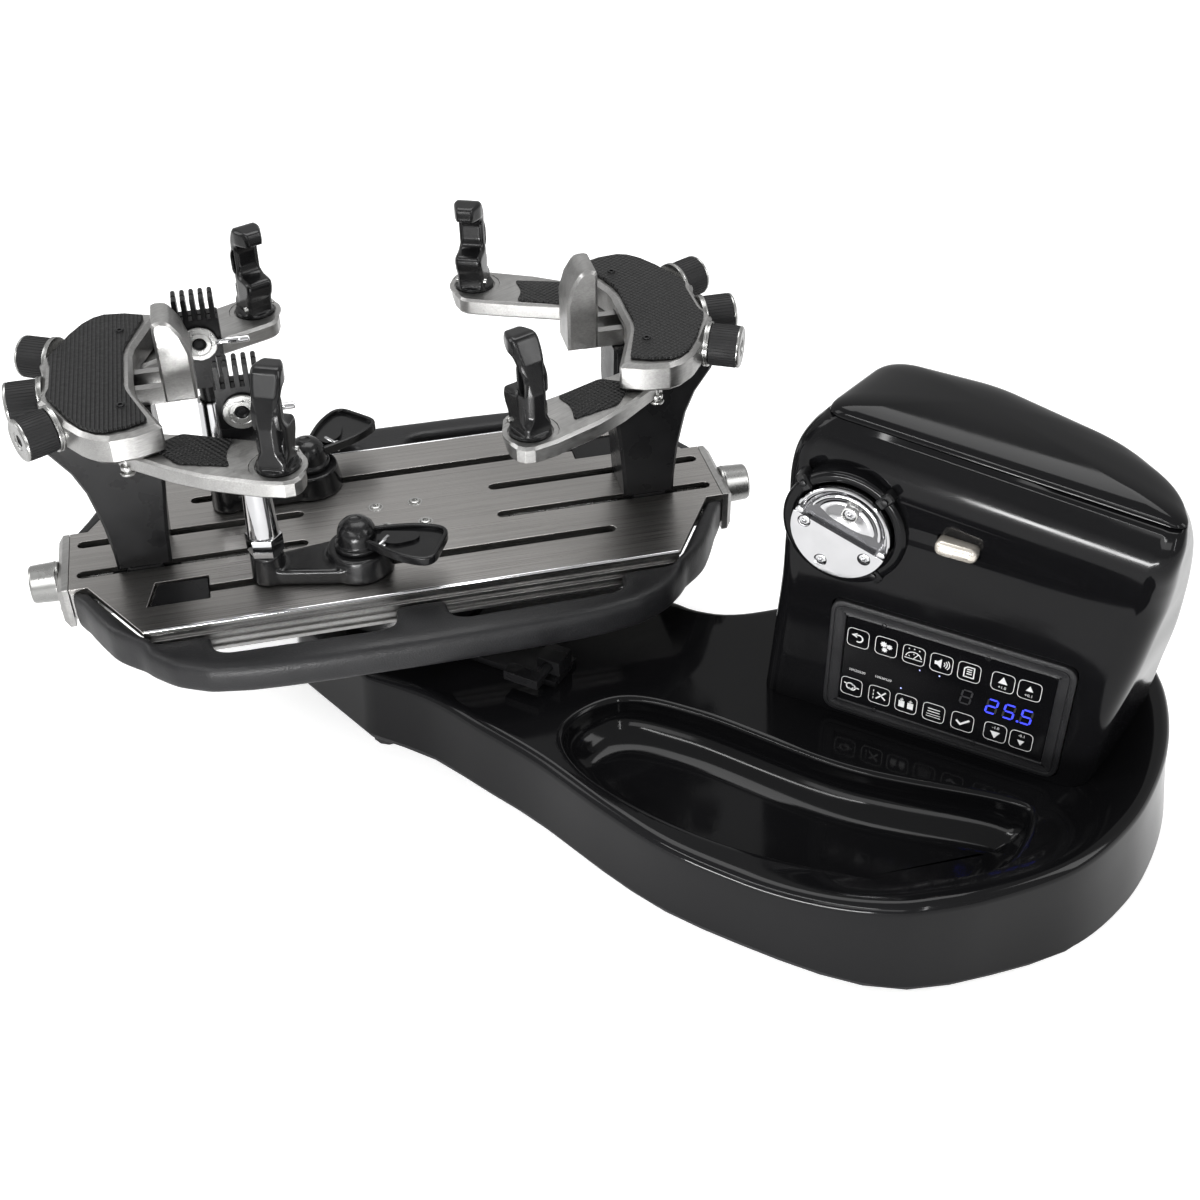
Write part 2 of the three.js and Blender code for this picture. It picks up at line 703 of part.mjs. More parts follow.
// Plan of the tower at each height: height share, then the six corners as shares of the width
// from its left side and of the depth from the panel's face
const towerShares = [
  [0, [0, 0], [1.008, 0], [1.085, 0.95], [1, 1.08], [0.6, 1.1], [0.05, 0.93]],
  [0.25, [0.015, 0], [1.03, 0], [1.105, 0.82], [1, 1], [0.6, 1.03], [0.07, 0.93]],
  [0.45, [0.026, 0], [1.06, 0], [1.125, 0.68], [1, 0.92], [0.6, 0.98], [0.09, 0.92]],
  [0.6, [0.02, 0.03], [1.08, -0.01], [1.13, 0.57], [0.99, 0.84], [0.59, 0.95], [0.1, 0.91]],
  [0.7, [0.015, 0.07], [1.095, -0.03], [1.13, 0.49], [0.98, 0.78], [0.58, 0.92], [0.1, 0.9]],
  [0.8, [0.006, 0.11], [1.105, -0.1], [1.125, 0.41], [0.96, 0.7], [0.56, 0.88], [0.11, 0.88]],
  [0.88, [0.015, 0.14], [1.11, -0.16], [1.115, 0.34], [0.94, 0.62], [0.54, 0.85], [0.12, 0.86]],
  [0.95, [0.05, 0.16], [1.12, -0.14], [1.09, 0.29], [0.92, 0.56], [0.52, 0.82], [0.14, 0.84]],
  [1, [0.095, 0.172], [1.12, -0.08], [1.056, 0.25], [0.9, 0.51], [0.5, 0.79], [0.165, 0.81]],
];
const TOWER_CORNER = 4;

function towerRing(share, height, inset = 0) {
  const above = towerShares.findIndex(([level]) => level >= share);
  const [highShare, ...high] = towerShares[above];
  const [lowShare, ...low] = towerShares[Math.max(above - 1, 0)];
  const part = highShare > lowShare ? (share - lowShare) / (highShare - lowShare) : 0;
  const corners = high.map(([x, y], i) => {
    const along = low[i][0] + (x - low[i][0]) * part;
    const across = low[i][1] + (y - low[i][1]) * part;
    return [TOWER_LEFT + along * TOWER_WIDTH, TOWER_FRONT + across * TOWER_DEPTH, TOWER_ROUND];
  });
  return rounded(insetCorners(corners, inset), 0)
    .getPoints(TOWER_CORNER)
    .slice(0, -1)
    .map((point) => new THREE.Vector3(point.x, point.y, height));
}

function towerBody() {
  return loft(towerShares.map(([share]) => towerRing(share, BASE_TOP + SEAT + share * (TOWER_SEAM - SEAT))));
}

function panelRecess() {
  const low = BASE_TOP + PANEL_LIFT - RUN;
  const corners = rectangle(
    PANEL_LEFT - RUN,
    PANEL_LEFT + PANEL_WIDTH + RUN,
    low,
    low + PANEL_HEIGHT + 2 * RUN,
    PANEL_ROUND,
  );
  const back = TOWER_FRONT - PANEL_PROUD + PANEL_DEPTH + SEAT;
  return slab(rounded(corners), TOWER_FRONT - TOWER_ROUND, back);
}

function towerHousing() {
  const axis = BASE_TOP + DRUM_LIFT;
  const collarBack = DRUM_FRONT + DRUM_DEPTH + TOWER_ROUND;
  const collarFront = DRUM_FRONT + DRUM_DEPTH - COLLAR_PROUD;
  const collar = towardsFront(drum(COLLAR_RADIUS, -collarBack, -collarFront, FINE));
  const well = towardsFront(
    drum(DRUM_RADIUS + RUN, -(DRUM_FRONT + DRUM_DEPTH + SEAT), -(DRUM_FRONT - OVERRUN), FINE),
  );
  const shaft = towardsFront(drum(DRUM_RADIUS / 3 + RUN, -collarBack, -DRUM_FRONT, FINE));
  const buttonBack = buttonFront() + BUTTON_LENGTH + BUTTON_TRAVEL + SEAT;
  const button = slab(rounded(buttonCorners(RUN)), DRUM_FRONT, buttonBack);
  return cut(
    join(towerBody(), collar.translate(DRUM_X, 0, axis)),
    well.translate(DRUM_X, 0, axis),
    shaft.translate(DRUM_X, 0, axis),
    panelRecess(),
    button,
  );
}

function towerLid() {
  const low = BASE_TOP + TOWER_SEAM + SEAM_GAP;
  return loft([
    towerRing(1, low),
    towerRing(1, low + TOWER_LID * 0.35, TOWER_LID * 0.15),
    towerRing(1, low + TOWER_LID * 0.75, TOWER_LID * 0.6),
    towerRing(1, low + TOWER_LID, TOWER_LID * 1.4),
  ]);
}

function buttonCorners(margin) {
  const half = BUTTON_WIDTH / 2 + margin;
  const low = BASE_TOP + BUTTON_LIFT - BUTTON_HEIGHT / 2 - margin;
  const high = low + BUTTON_HEIGHT + 2 * margin;
  const round = BUTTON_HEIGHT / 3;
  return rectangle(BUTTON_X - half, BUTTON_X + half, low, high, round);
}

// The housing's face leans, so the button's face is set by the lean at its own height
function buttonFront() {
  return TOWER_FRONT - BUTTON_PROUD;
}

function addTower(group) {
  addPiece(group, "tower_housing", towerHousing(), glossBlack);
  addPiece(group, "tower_lid", towerLid(), glossBlack);
  addPanel(group);
  const button = bevelledSlab(buttonCorners(0), buttonFront(), buttonFront() + BUTTON_LENGTH, BUTTON_EDGE);
  addPiece(group, "tension_button", button, ivory);
  addTensionHead(group);
}

function addPanel(group) {
  const low = BASE_TOP + PANEL_LIFT;
  const front = TOWER_FRONT - PANEL_PROUD;
  const right = PANEL_LEFT + PANEL_WIDTH;
  const corners = rectangle(PANEL_LEFT, right, low, low + PANEL_HEIGHT, PANEL_ROUND);
  const frame = bevelledSlab(corners, front, front + PANEL_DEPTH, PANEL_EDGE);
  const pane = (margin) =>
    rounded(
      rectangle(
        PANEL_LEFT + GLASS_MARGIN + margin,
        right - GLASS_MARGIN - margin,
        low + GLASS_MARGIN + margin,
        low + PANEL_HEIGHT - GLASS_MARGIN - margin,
        GLASS_MARGIN / 4,
      ),
    );
  const glassFront = front + GLASS_SINK;
  const sunk = slab(pane(0), front - OVERRUN, glassFront + GLASS_THICKNESS + SEAT);
  addPiece(group, "panel_bezel", cut(frame, sunk), satinBlack);
  addPiece(group, "panel_glass", slab(pane(SEAT), glassFront, glassFront + GLASS_THICKNESS), darkGlass);
}

// The part of a disc above a chord
function segment(radius, chord) {
  const start = Math.asin(chord / radius);
  const shape = new THREE.Shape();
  shape.absarc(0, 0, radius, start, Math.PI - start);
  shape.closePath();
  return shape;
}

// Drum of the tension head: a flange and a core behind a half plate, with a post at both ends of
// the slot, drawn with the slot along X and the front at Y = 0
function gripperDrum() {
  const core = DRUM_RADIUS - GROOVE_DEPTH;
  const shaft = DRUM_RADIUS / 3;
  const spool = turned(
    [
      [0, -DRUM_DEPTH - TOWER_ROUND / 2],
      [shaft, -DRUM_DEPTH - TOWER_ROUND / 2],
      [shaft, -DRUM_DEPTH],
      [DRUM_RADIUS, -DRUM_DEPTH],
      [DRUM_RADIUS, -DRUM_DEPTH + FLANGE_THICKNESS],
      [core, -DRUM_DEPTH + FLANGE_THICKNESS + GROOVE_DEPTH / 2],
      [core, -FACE_THICKNESS],
      [DRUM_RADIUS, -FACE_THICKNESS],
      [DRUM_RADIUS, 0],
      [0, 0],
    ],
    FINE,
  );
  const open = slab(segment(DRUM_RADIUS + OVERRUN, 0), -OVERRUN, DRUM_DEPTH - FLANGE_THICKNESS, COARSE);
  const posts = [-1, 1].map((side) =>
    towardsFront(drum(STRING_POST_RADIUS, -DRUM_DEPTH + FLANGE_THICKNESS / 2, -SEAT, COARSE)).translate(
      side * STRING_POST_REACH,
      0,
      STRING_POST_RADIUS / 2,
    ),
  );
  return join(cut(towardsFront(spool), open), ...posts);
}

function gripperJaw() {
  const back = DRUM_DEPTH - FLANGE_THICKNESS - SEAT;
  const lens = slab(segment(JAW_RADIUS, SLOT_GAP), JAW_FRONT, back, COARSE);
  const posts = [-1, 1].map((side) =>
    towardsFront(drum(STRING_POST_RADIUS + RUN, -DRUM_DEPTH, 0, COARSE)).translate(
      side * STRING_POST_REACH,
      0,
      STRING_POST_RADIUS / 2,
    ),
  );
  return cut(lens, ...posts);
}

function addTensionHead(group) {
  const head = new THREE.Group();
  head.position.set(DRUM_X, DRUM_FRONT, BASE_TOP + DRUM_LIFT);
  head.rotation.y = -DRUM_CUT_ANGLE;
  group.add(head);
  addPiece(head, "gripper_drum", gripperDrum(), chrome);
  addPiece(head, "gripper_jaw", gripperJaw(), chrome);
}

// Turntable pedestal, hub and brake

function pedestal() {
  const top = BASE_TOP + SEAT + PEDESTAL_HEIGHT;
  const body = drum(PEDESTAL_RADIUS, BASE_TOP + SEAT, top, FINE, PEDESTAL_RADIUS - PEDESTAL_HEIGHT / 3);
  const tongue = block(
    0,
    BRAKE_X + BRAKE_BRACKET / 2,
    BRAKE_Y - TONGUE_WIDTH / 2,
    BRAKE_Y + TONGUE_WIDTH / 2,
    BASE_TOP + SEAT,
    BASE_TOP + SEAT + TONGUE_HEIGHT,
  );
  const half = BRAKE_BRACKET / 2;
  const post = block(
    BRAKE_X - half,
    BRAKE_X + half,
    BRAKE_Y - half,
    BRAKE_Y + half,
    BASE_TOP + SEAT,
    BASE_TOP + BRAKE_HEIGHT,
  );
  const bore = towardsFront(drum(BRAKE_ROD_RADIUS + RUN, -BRAKE_ROD_LENGTH, BRAKE_ROD_LENGTH, COARSE));
  const socket = drum(SPINDLE_RADIUS + RUN, BASE_TOP + SEAT + TONGUE_HEIGHT, top + OVERRUN, ROUND);
  return cut(join(body, tongue, post), bore.translate(BRAKE_X, BRAKE_Y, brakeAxis()), socket);
}

function brakeAxis() {
  return BASE_TOP + BRAKE_HEIGHT - BRAKE_BRACKET / 3;
}

function brakeLever() {
  const rod = towardsFront(drum(BRAKE_ROD_RADIUS, -BRAKE_BRACKET / 2, BRAKE_ROD_LENGTH, COARSE));
  const paddle = block(
    -BRAKE_PADDLE,
    BRAKE_ROD_RADIUS,
    -BRAKE_ROD_LENGTH,
    -BRAKE_ROD_LENGTH + BRAKE_PADDLE_WIDTH,
    -BRAKE_ROD_RADIUS,
    BRAKE_ROD_RADIUS,
  );
  return join(rod, paddle).translate(BRAKE_X, BRAKE_Y, brakeAxis());
}

const CHASSIS_BOTTOM = DECK_TOP - DECK_SKIN - SEAT - CHASSIS_HEIGHT;

function hub() {
  const low = BASE_TOP + SEAT + PEDESTAL_HEIGHT + SEAT;
  const plate = drum(HUB_RADIUS, low, CHASSIS_BOTTOM - SEAT, FINE);
  const spindle = drum(SPINDLE_RADIUS, BASE_TOP + SEAT + TONGUE_HEIGHT + SEAT, low + OVERRUN, ROUND);
  return join(plate, spindle);
}

// Deck

function deckOutline() {
  const half = DECK_LENGTH / 2;
  const tab = TAB_WIDTH / 2;
  const wide = DECK_WIDTH / 2;
  const neck = half - TAB_LENGTH;
  const chamfer = neck - CHAMFER_LENGTH;
  const quarter = [
    [half, tab],
    [neck, tab],
    [chamfer, wide],
  ];
  const mirrored = quarter.toReversed().map(([x, y]) => [-x, y]);
  const rear = [...quarter, ...mirrored];
  return rounded([...rear, ...rear.map(([x, y]) => [-x, -y])]);
}

function pocketShape(margin) {
  const middle = -CLAMP_SLOT_Y + SLOT_WIDTH / 4;
  const near = middle - POCKET_WIDTH / 2 - margin;
  const far = middle + POCKET_WIDTH / 2 + margin;
  const left = CLAMP_SLOT_START - POCKET_LENGTH / 2 - margin;
  const right = CLAMP_SLOT_START + POCKET_LENGTH / 2 + margin;
  return rounded([
    [left, near],
    [right, near],
    [right, far],
    [left + POCKET_SLANT, far],
  ]);
}

function deckPlate() {
  const low = DECK_TOP - DECK_SKIN;
  const half = DECK_WIDTH / 2;
  const profile = rounded(rectangle(-half, half, low, DECK_TOP, DECK_SKIN / 3));
  const sheet = rail(profile, -DECK_LENGTH / 2 - OVERRUN, DECK_LENGTH / 2 + OVERRUN);
  const plate = common(sheet, prism(deckOutline(), low - OVERRUN, DECK_TOP + OVERRUN));
  const slots = [];
  const addSlot = (shape) => slots.push(prism(shape, low - OVERRUN, DECK_TOP + OVERRUN));
  for (const side of [-1, 1]) {
    addSlot(stadium(STAND_SLOT_START, STAND_SLOT_END, side * STAND_SLOT_Y, SLOT_WIDTH));
    addSlot(stadium(-STAND_SLOT_END, -STAND_SLOT_START, side * STAND_SLOT_Y, SLOT_WIDTH));
  }
  for (const turn of [0, Math.PI]) {
    const slot = stadium(CLAMP_SLOT_START, CLAMP_SLOT_END, -CLAMP_SLOT_Y, SLOT_WIDTH);
    slots.push(prism(slot, low - OVERRUN, DECK_TOP + OVERRUN).rotateZ(turn));
    slots.push(prism(pocketShape(0), low - OVERRUN, DECK_TOP + OVERRUN).rotateZ(turn));
  }
  return cut(plate, ...slots);
}

// The chassis is an extrusion: a floor, two fluted rails and the keel that houses the screws
function chassis() {
  const low = CHASSIS_BOTTOM;
  const high = low + CHASSIS_HEIGHT;
  const floor = low + CHASSIS_WALL;
  const outer = DECK_WIDTH / 2 - CHASSIS_INSET;
  const inner = CLAMP_SLOT_Y + (DECK_WIDTH / 2 - CLAMP_SLOT_Y) * RAIL_SHARE;
  const keel = KEEL_WIDTH / 2;
  const thin = keel - CHASSIS_WALL;
  const flutes = [1, 3, 5].flatMap((step) => {
    const start = low + (step * CHASSIS_HEIGHT) / 7;
    const end = start + CHASSIS_HEIGHT / 7;
    return [
      [outer, start],
      [outer - GROOVE_SIDE, start],
      [outer - GROOVE_SIDE, end],
      [outer, end],
    ];
  });
  const half = [
    [outer, low],
    ...flutes,
    [outer, high],
    [inner, high],
    [inner, floor],
    [keel, floor],
    [keel, high],
    [thin, high],
    [thin, floor],
  ];
  const profile = rounded([...half, ...half.toReversed().map(([y, z]) => [-y, z])]);
  const wide = DECK_LENGTH / 2 - TAB_LENGTH - CHAMFER_LENGTH;
  const trough = rounded([
    [-keel, low],
    [keel, low],
    [keel, high],
    [thin, high],
    [thin, floor],
    [-thin, floor],
    [-thin, high],
    [-keel, high],
  ]);
  const long = DECK_LENGTH / 2;
  return join(rail(profile, -wide, wide), rail(trough, -long, long));
}

function endPlate() {
  const half = TAB_WIDTH / 2;
  const high = DECK_TOP;
  const low = high - END_PLATE_HEIGHT;
  const left = DECK_LENGTH / 2 + SEAT;
  const corners = rectangle(-half, half, low, high);
  const plate = rail(rounded(corners), left, left + END_PLATE_THICKNESS);
  const bevel = bevelled(corners, 0, 2 * END_PLATE_THICKNESS, END_PLATE_BEVEL);
  const shaped = bevel.rotateX(Math.PI / 2).rotateZ(Math.PI / 2).translate(left - END_PLATE_THICKNESS, 0, 0);
  const bore = towardsX(drum(SCREW_RADIUS + RUN, left - OVERRUN, left + END_PLATE_THICKNESS + OVERRUN, COARSE));
  return cut(common(plate, shaped), bore.translate(0, 0, DECK_TOP - SCREW_DROP));
}

function endKnob() {
  const start = DECK_LENGTH / 2 + SEAT + END_PLATE_THICKNESS + SEAT;
  const end = start + KNOB_LENGTH;
  const body = turned(
    [
      [0, SCREW_INNER],
      [SCREW_RADIUS, SCREW_INNER],
      [SCREW_RADIUS, start],
      [KNOB_RADIUS * 0.94, start],
      [KNOB_RADIUS, start + KNOB_LENGTH / 8],
      [KNOB_RADIUS * 0.92, end - KNOB_LENGTH / 8],
      [KNOB_RADIUS * 0.8, end],
      [0, end],
    ],
    ROUND,
  );
  return towardsX(body).translate(0, 0, DECK_TOP - SCREW_DROP);
}

// Bumper along one long side: a bar with two hand-holds, and a lobe along each chamfer of the
// deck. The bar's shares are of the chamfer's start and of its standoff from the deck, the lobe's
// of the length from the deck's end back to that start and of the deck's width beyond its tab, and
// roundings are shares of the bar's width
const barShares = [
  [0.455, 0.98, 0.6],
  [0.72, 0.91, 0.6],
  [0.86, 0.745, 0.6],
  [0.968, 0.425, 0.6],
  [1.027, 0.09, 0.3],
];
const lobeShares = [
  [0.9, 1.063, 0.2],
  [0.667, 0.928, 0.5],
  [0.43, 0.694, 0.6],
  [0.262, 0.342, 0.5],
  [0.072, 0.096, 0.2],
];

function mirrored(corners) {
  return corners.toReversed().map(([x, y, round]) => [-x, y, round]);
}

function bumper() {
  const half = DECK_LENGTH / 2;
  const tab = TAB_WIDTH / 2 + SEAT;
  const wide = DECK_WIDTH / 2 + SEAT;
  const neck = half - TAB_LENGTH + SEAT;
  const chamfer = neck - CHAMFER_LENGTH;
  const high = DECK_TOP - BUMPER_DROP;
  const low = high - BUMPER_HEIGHT;
  const right = barShares.map(([x, y, turn]) => [
    x * chamfer,
    -wide - y * (BUMPER_REACH - wide),
    turn * BUMPER_BAR,
  ]);
  right.push([chamfer, -wide, 0]);
  const bar = bevelled([[0, -BUMPER_REACH, 0], ...right, ...mirrored(right)], low, high, BUMPER_EDGE);
  const lobeRight = [
    [chamfer, -wide, 0],
    [chamfer - LOBE_LAP, -wide, 0],
    [chamfer - LOBE_LAP, -wide - LOBE_LAP * 2.6, 0],
    ...lobeShares.map(([x, y, turn]) => [
      half - x * (half - chamfer),
      -tab - y * (wide - tab),
      turn * BUMPER_BAR,
    ]),
    [half, -tab, 0],
    [neck, -tab, 0],
  ];
  const lobes = [lobeRight, mirrored(lobeRight)].map((corners) =>
    bevelled(corners, low, DECK_TOP - LOBE_DROP, LOBE_EDGE),
  );
  const rib = BUMPER_RIB / 2;
  const bend = BUMPER_BAR / 2;
  const inner = BUMPER_REACH - BUMPER_BAR;
  const hold = [
    [rib, -inner, bend],
    [HANDHOLD_REACH, -inner * HOLD_LEAN, bend],
    [HANDHOLD_REACH, -wide + OVERRUN, 0],
    [rib, -wide + OVERRUN, 0],
  ];
  const gaps = [hold, mirrored(hold)].map((corners) => prism(rounded(corners), low - OVERRUN, high + OVERRUN));
  return cut(join(bar, ...lobes), ...gaps);
}

function addDeck(group) {
  addPiece(group, "turntable_hub", hub(), satinBlack);
  addPiece(group, "deck_plate", deckPlate(), brushedSteel);
  addPiece(group, "deck_chassis", chassis(), castAluminium);
  for (const [place, turn] of [
    ["right", 0],
    ["left", Math.PI],
  ]) {
    const side = new THREE.Group();
    side.rotation.z = turn;
    group.add(side);
    addPiece(side, "end_plate_" + place, endPlate(), castAluminium);
    addPiece(side, "end_knob_" + place, endKnob(), castAluminium);
    addSide(side, place);
  }
  for (const [place, turn] of [
    ["front", 0],
    ["rear", Math.PI],
  ]) {
    const side = new THREE.Group();
    side.rotation.z = turn;
    group.add(side);
    addPiece(side, "bumper_" + place, bumper(), satinBlack);
  }
}

// Stand, head, supports, arms and shoulder clamps of one end, drawn on the +X side

// Side view of a stand, anticlockwise from its foot's inner corner: shares of the foot's length
// or of the head's, of the rise, and roundings as shares of the foot's length
const standFootShares = [
  [0, 0, 0],
  [1, 0, 0],
  [1.02, 0.2, 0.3],
  [1.15, 0.44, 0.3],
];
const standTopShares = [
  [0.82, 0.62, 0.3],
  [0.965, 0.72, 0.2],
  [1.12, 0.83, 0.1],
  [0.975, 0.89, 0.1],
  [0.975, 1, 0],
  [-0.14, 1, 0],
  [-0.155, 0.62, 0.3],
];
const standBackShares = [[-0.07, 0.3, 0.3]];

function stand() {
  const low = DECK_TOP + SEAT;
  const high = HEAD_BOTTOM - SEAT;
  const rise = high - low;
  const placed = (shares, start, length) =>
    shares.map(([x, z, round]) => [start + x * length, low + z * rise, round * STAND_FOOT]);
  const corners = [
    ...placed(standFootShares, STAND_INNER, STAND_FOOT),
    ...placed(standTopShares, HEAD_INNER, HEAD_LENGTH),
    ...placed(standBackShares, STAND_INNER, STAND_FOOT),
  ];
  const half = STAND_WIDTH / 2;
  const tower = bevelledSlab(corners, -half, half, STAND_EDGE);
  const carriageTop = DECK_TOP - DECK_SKIN - RUN;
  const carriage = block(
    STAND_MIDDLE - CARRIAGE_LENGTH / 2,
    STAND_MIDDLE + CARRIAGE_LENGTH / 2,
    -CARRIAGE_WIDTH / 2,
    CARRIAGE_WIDTH / 2,
    carriageTop - CARRIAGE_HEIGHT,
    carriageTop,
  );
  const keyReach = STAND_FOOT / 2 - KEY_MARGIN;
  const keys = [-1, 1].map((side) =>
    prism(
      stadium(STAND_MIDDLE - keyReach, STAND_MIDDLE + keyReach, side * STAND_SLOT_Y, SLOT_WIDTH - 2 * RUN),
      carriageTop - OVERRUN,
      low + OVERRUN,
    ),
  );
  const bore = towardsX(drum(SCREW_RADIUS + RUN, SCREW_INNER, DECK_LENGTH / 2, COARSE));
  return cut(join(tower, carriage, ...keys), bore.translate(0, 0, DECK_TOP - SCREW_DROP));
}

// Half of the head's plan, from the outer middle round to the inner middle: shares of the
// head's length along X from its inner edge, of its half span beyond the centre knob's ring along
// Y, and of its largest rounding
const headShares = [
  [1, 0.005, 0.15],
  [1.05, 0.128, 0.2],
  [0.69, 0.717, 0.6],
  [0.42, 0.963, 1],
  [0.11, 1, 0.6],
  [-0.31, 0.865, 0.2],
  [0, 0.164, 0.4],
];

function headCorners(margin) {
  const half = headShares.map(([x, y, round]) => {
    const along = HEAD_INNER + margin + x * (HEAD_LENGTH - 2 * margin);
    const across = GRIP_RING_RADIUS + y * (HEAD_HALF_SPAN - GRIP_RING_RADIUS - margin);
    return [along, across, round * HEAD_ROUND];
  });
  return [...half.toReversed().map(([x, y, round]) => [x, -y, round]), ...half];
}

function sideKnobPlace(geometry, sign) {
  return geometry
    .rotateZ(sign * SIDE_KNOB_ANGLE)
    .translate(SIDE_KNOB_X, sign * SIDE_KNOB_Y, HEAD_BOTTOM + HEAD_THICKNESS / 2);
}

function mountingHead() {
  const high = HEAD_BOTTOM + HEAD_THICKNESS;
  const body = bevelled(headCorners(0), HEAD_BOTTOM, high, HEAD_EDGE);
  const channel = block(
    HEAD_INNER - CARRIAGE_LENGTH,
    CHANNEL_END,
    -CHANNEL_WIDTH / 2,
    CHANNEL_WIDTH / 2,
    HEAD_BOTTOM - OVERRUN,
    HEAD_BOTTOM + CHANNEL_HEIGHT,
  );
  const shaftHole = towardsX(
    drum(GRIP_SHAFT_RADIUS + RUN, CHANNEL_END - OVERRUN, HEAD_OUTER + OVERRUN, COARSE),
  );
  const sideHoles = [-1, 1].flatMap((sign) =>
    [
      drum(GRIP_SHAFT_RADIUS + RUN, -GRIP_SHAFT_LENGTH - RUN, OVERRUN, COARSE),
      drum(GRIP_RING_RADIUS + RUN, 0, GRIP_LENGTH, ROUND),
    ].map((tool) => sideKnobPlace(towardsX(tool), sign)),
  );
  const pinHoles = [-1, 1].map((sign) =>
    drum(ARM_PIN_RADIUS + RUN, HEAD_BOTTOM - OVERRUN, HEAD_BOTTOM + ARM_PIN_LENGTH, COARSE).translate(
      ARM_PIVOT_X,
      sign * ARM_PIVOT_Y,
      0,
    ),
  );
  return cut(body, channel, shaftHole.translate(0, 0, supportAxis()), ...sideHoles, ...pinHoles);
}

function supportAxis() {
  return HEAD_BOTTOM + SEAT + SUPPORT_BAR_HEIGHT / 2;
}

// A knob along Z: shaft below zero, ring, grip and cap above
function gripKnob(shaftLength) {
  const grip = GRIP_RING + GRIP_LENGTH;
  return turned(
    [
      [0, -shaftLength],
      [GRIP_SHAFT_RADIUS, -shaftLength],
      [GRIP_SHAFT_RADIUS, SEAT],
      [GRIP_RING_RADIUS, SEAT],
      [GRIP_RING_RADIUS, GRIP_RING],
      [GRIP_RADIUS, GRIP_RING],
      [GRIP_RADIUS, grip],
      [GRIP_RADIUS - GRIP_CAP, grip + GRIP_CAP],
      [0, grip + GRIP_CAP],
    ],
    KNURL,
  );
}

function innerSupport() {
  const low = HEAD_BOTTOM + SEAT;
  const barHigh = low + SUPPORT_BAR_HEIGHT;
  const half = SUPPORT_BLOCK_WIDTH / 2;
  const bars = [-1, 1].map((side) => {
    const middle = side * SUPPORT_BAR_Y;
    const reach = SUPPORT_BAR_WIDTH / 2;
    return block(SUPPORT_INNER + SUPPORT_BLOCK / 2, SUPPORT_END, middle - reach, middle + reach, low, barHigh);
  });
  const nut = block(SUPPORT_END - SUPPORT_NUT, SUPPORT_END, -SUPPORT_BAR_Y, SUPPORT_BAR_Y, low, barHigh);
  const tower = bevelledSlab(
    [
      [SUPPORT_INNER, low],
      [SUPPORT_INNER + SUPPORT_BLOCK, low],
      [SUPPORT_INNER + SUPPORT_BLOCK, low + SUPPORT_RISE, SUPPORT_ROUND / 2],
      [SUPPORT_INNER + SUPPORT_BLOCK / 2, low + SUPPORT_RISE, SUPPORT_ROUND / 2],
      [SUPPORT_INNER, low + SUPPORT_RISE * 0.72, SUPPORT_ROUND],
    ],
    -half,
    half,
    SUPPORT_EDGE,
  );
  const bore = towardsX(drum(GRIP_SHAFT_RADIUS + RUN, SUPPORT_INNER, SUPPORT_END + OVERRUN, COARSE));
  return cut(join(...bars, nut, tower), bore.translate(SUPPORT_BLOCK + SEAT, 0, supportAxis()));
}

// The arm's plan, as shares of its reach along X from the pivot, of its outermost Y, and of its
// largest rounding
const armShares = [
  [0.1, 0.34, 0.4],
  [-0.08, 0.37, 0.4],
  [-0.08, 0.5, 0.4],
  [0.05, 0.59, 0.4],
  [0.32, 0.79, 1],
  [0.79, 0.985, 0.7],
  [0.93, 1, 0.6],
  [1, 0.92, 0.6],
  [1, 0.7, 0.4],
  [0.96, 0.64, 0.4],
  [0.66, 0.53, 0.6],
  [0.3, 0.415, 0.9],
];

function arm() {
  const high = HEAD_BOTTOM - ARM_DROP;
  const corners = armShares.map(([x, y, round]) => [
    ARM_PIVOT_X - x * ARM_REACH,
    y * ARM_SPREAD,
    round * ARM_ROUND,
  ]);
  const plate = bevelled(corners, high - ARM_THICKNESS, high, ARM_EDGE);
  const pin = drum(ARM_PIN_RADIUS, high - ARM_THICKNESS / 2, HEAD_BOTTOM + ARM_PIN_LENGTH - RUN, COARSE);
  const seat = drum(SEAT_RADIUS, high - SEAT_DEPTH, high + OVERRUN, ROUND);
  return cut(
    join(plate, pin.translate(ARM_PIVOT_X, ARM_PIVOT_Y, 0)),
    seat.translate(SHOULDER_X, SHOULDER_Y, 0),
  );
}

// Side view of a shoulder clamp: shares of its depth towards the hoop, of its height and of its
// largest rounding
const shoulderShares = [
  [0, 0, 0],
  [0.74, 0, 0],
  [0.74, 0.16, 0.25],
  [0.9, 0.29, 0.25],
  [0.9, 0.42, 0.25],
  [0.46, 0.44, 0.25],
  [0.4, 0.5, 0.2],
  [0.4, 0.72, 0.2],
  [0.48, 0.79, 0.2],
  [1, 0.84, 0.25],
  [0.93, 0.98, 0.25],
  [0.42, 1, 0.35],
  [0, 0.62, 1],
];

function shoulderClamp() {
  const low = HEAD_BOTTOM - ARM_DROP - SEAT_DEPTH + SEAT;
  const middle = 0.37 * SHOULDER_DEPTH;
  const corners = shoulderShares.map(([x, z, round]) => [
    x * SHOULDER_DEPTH - middle,
    low + SEAT_DEPTH + z * SHOULDER_HEIGHT,
    round * SHOULDER_ROUND,
  ]);
  const half = SHOULDER_WIDTH / 2;
  const hook = bevelledSlab(corners, -half, half, SHOULDER_EDGE);
  const foot = drum(SHOULDER_FOOT, low, low + 2 * SEAT_DEPTH, ROUND);
  return join(hook, foot);
}

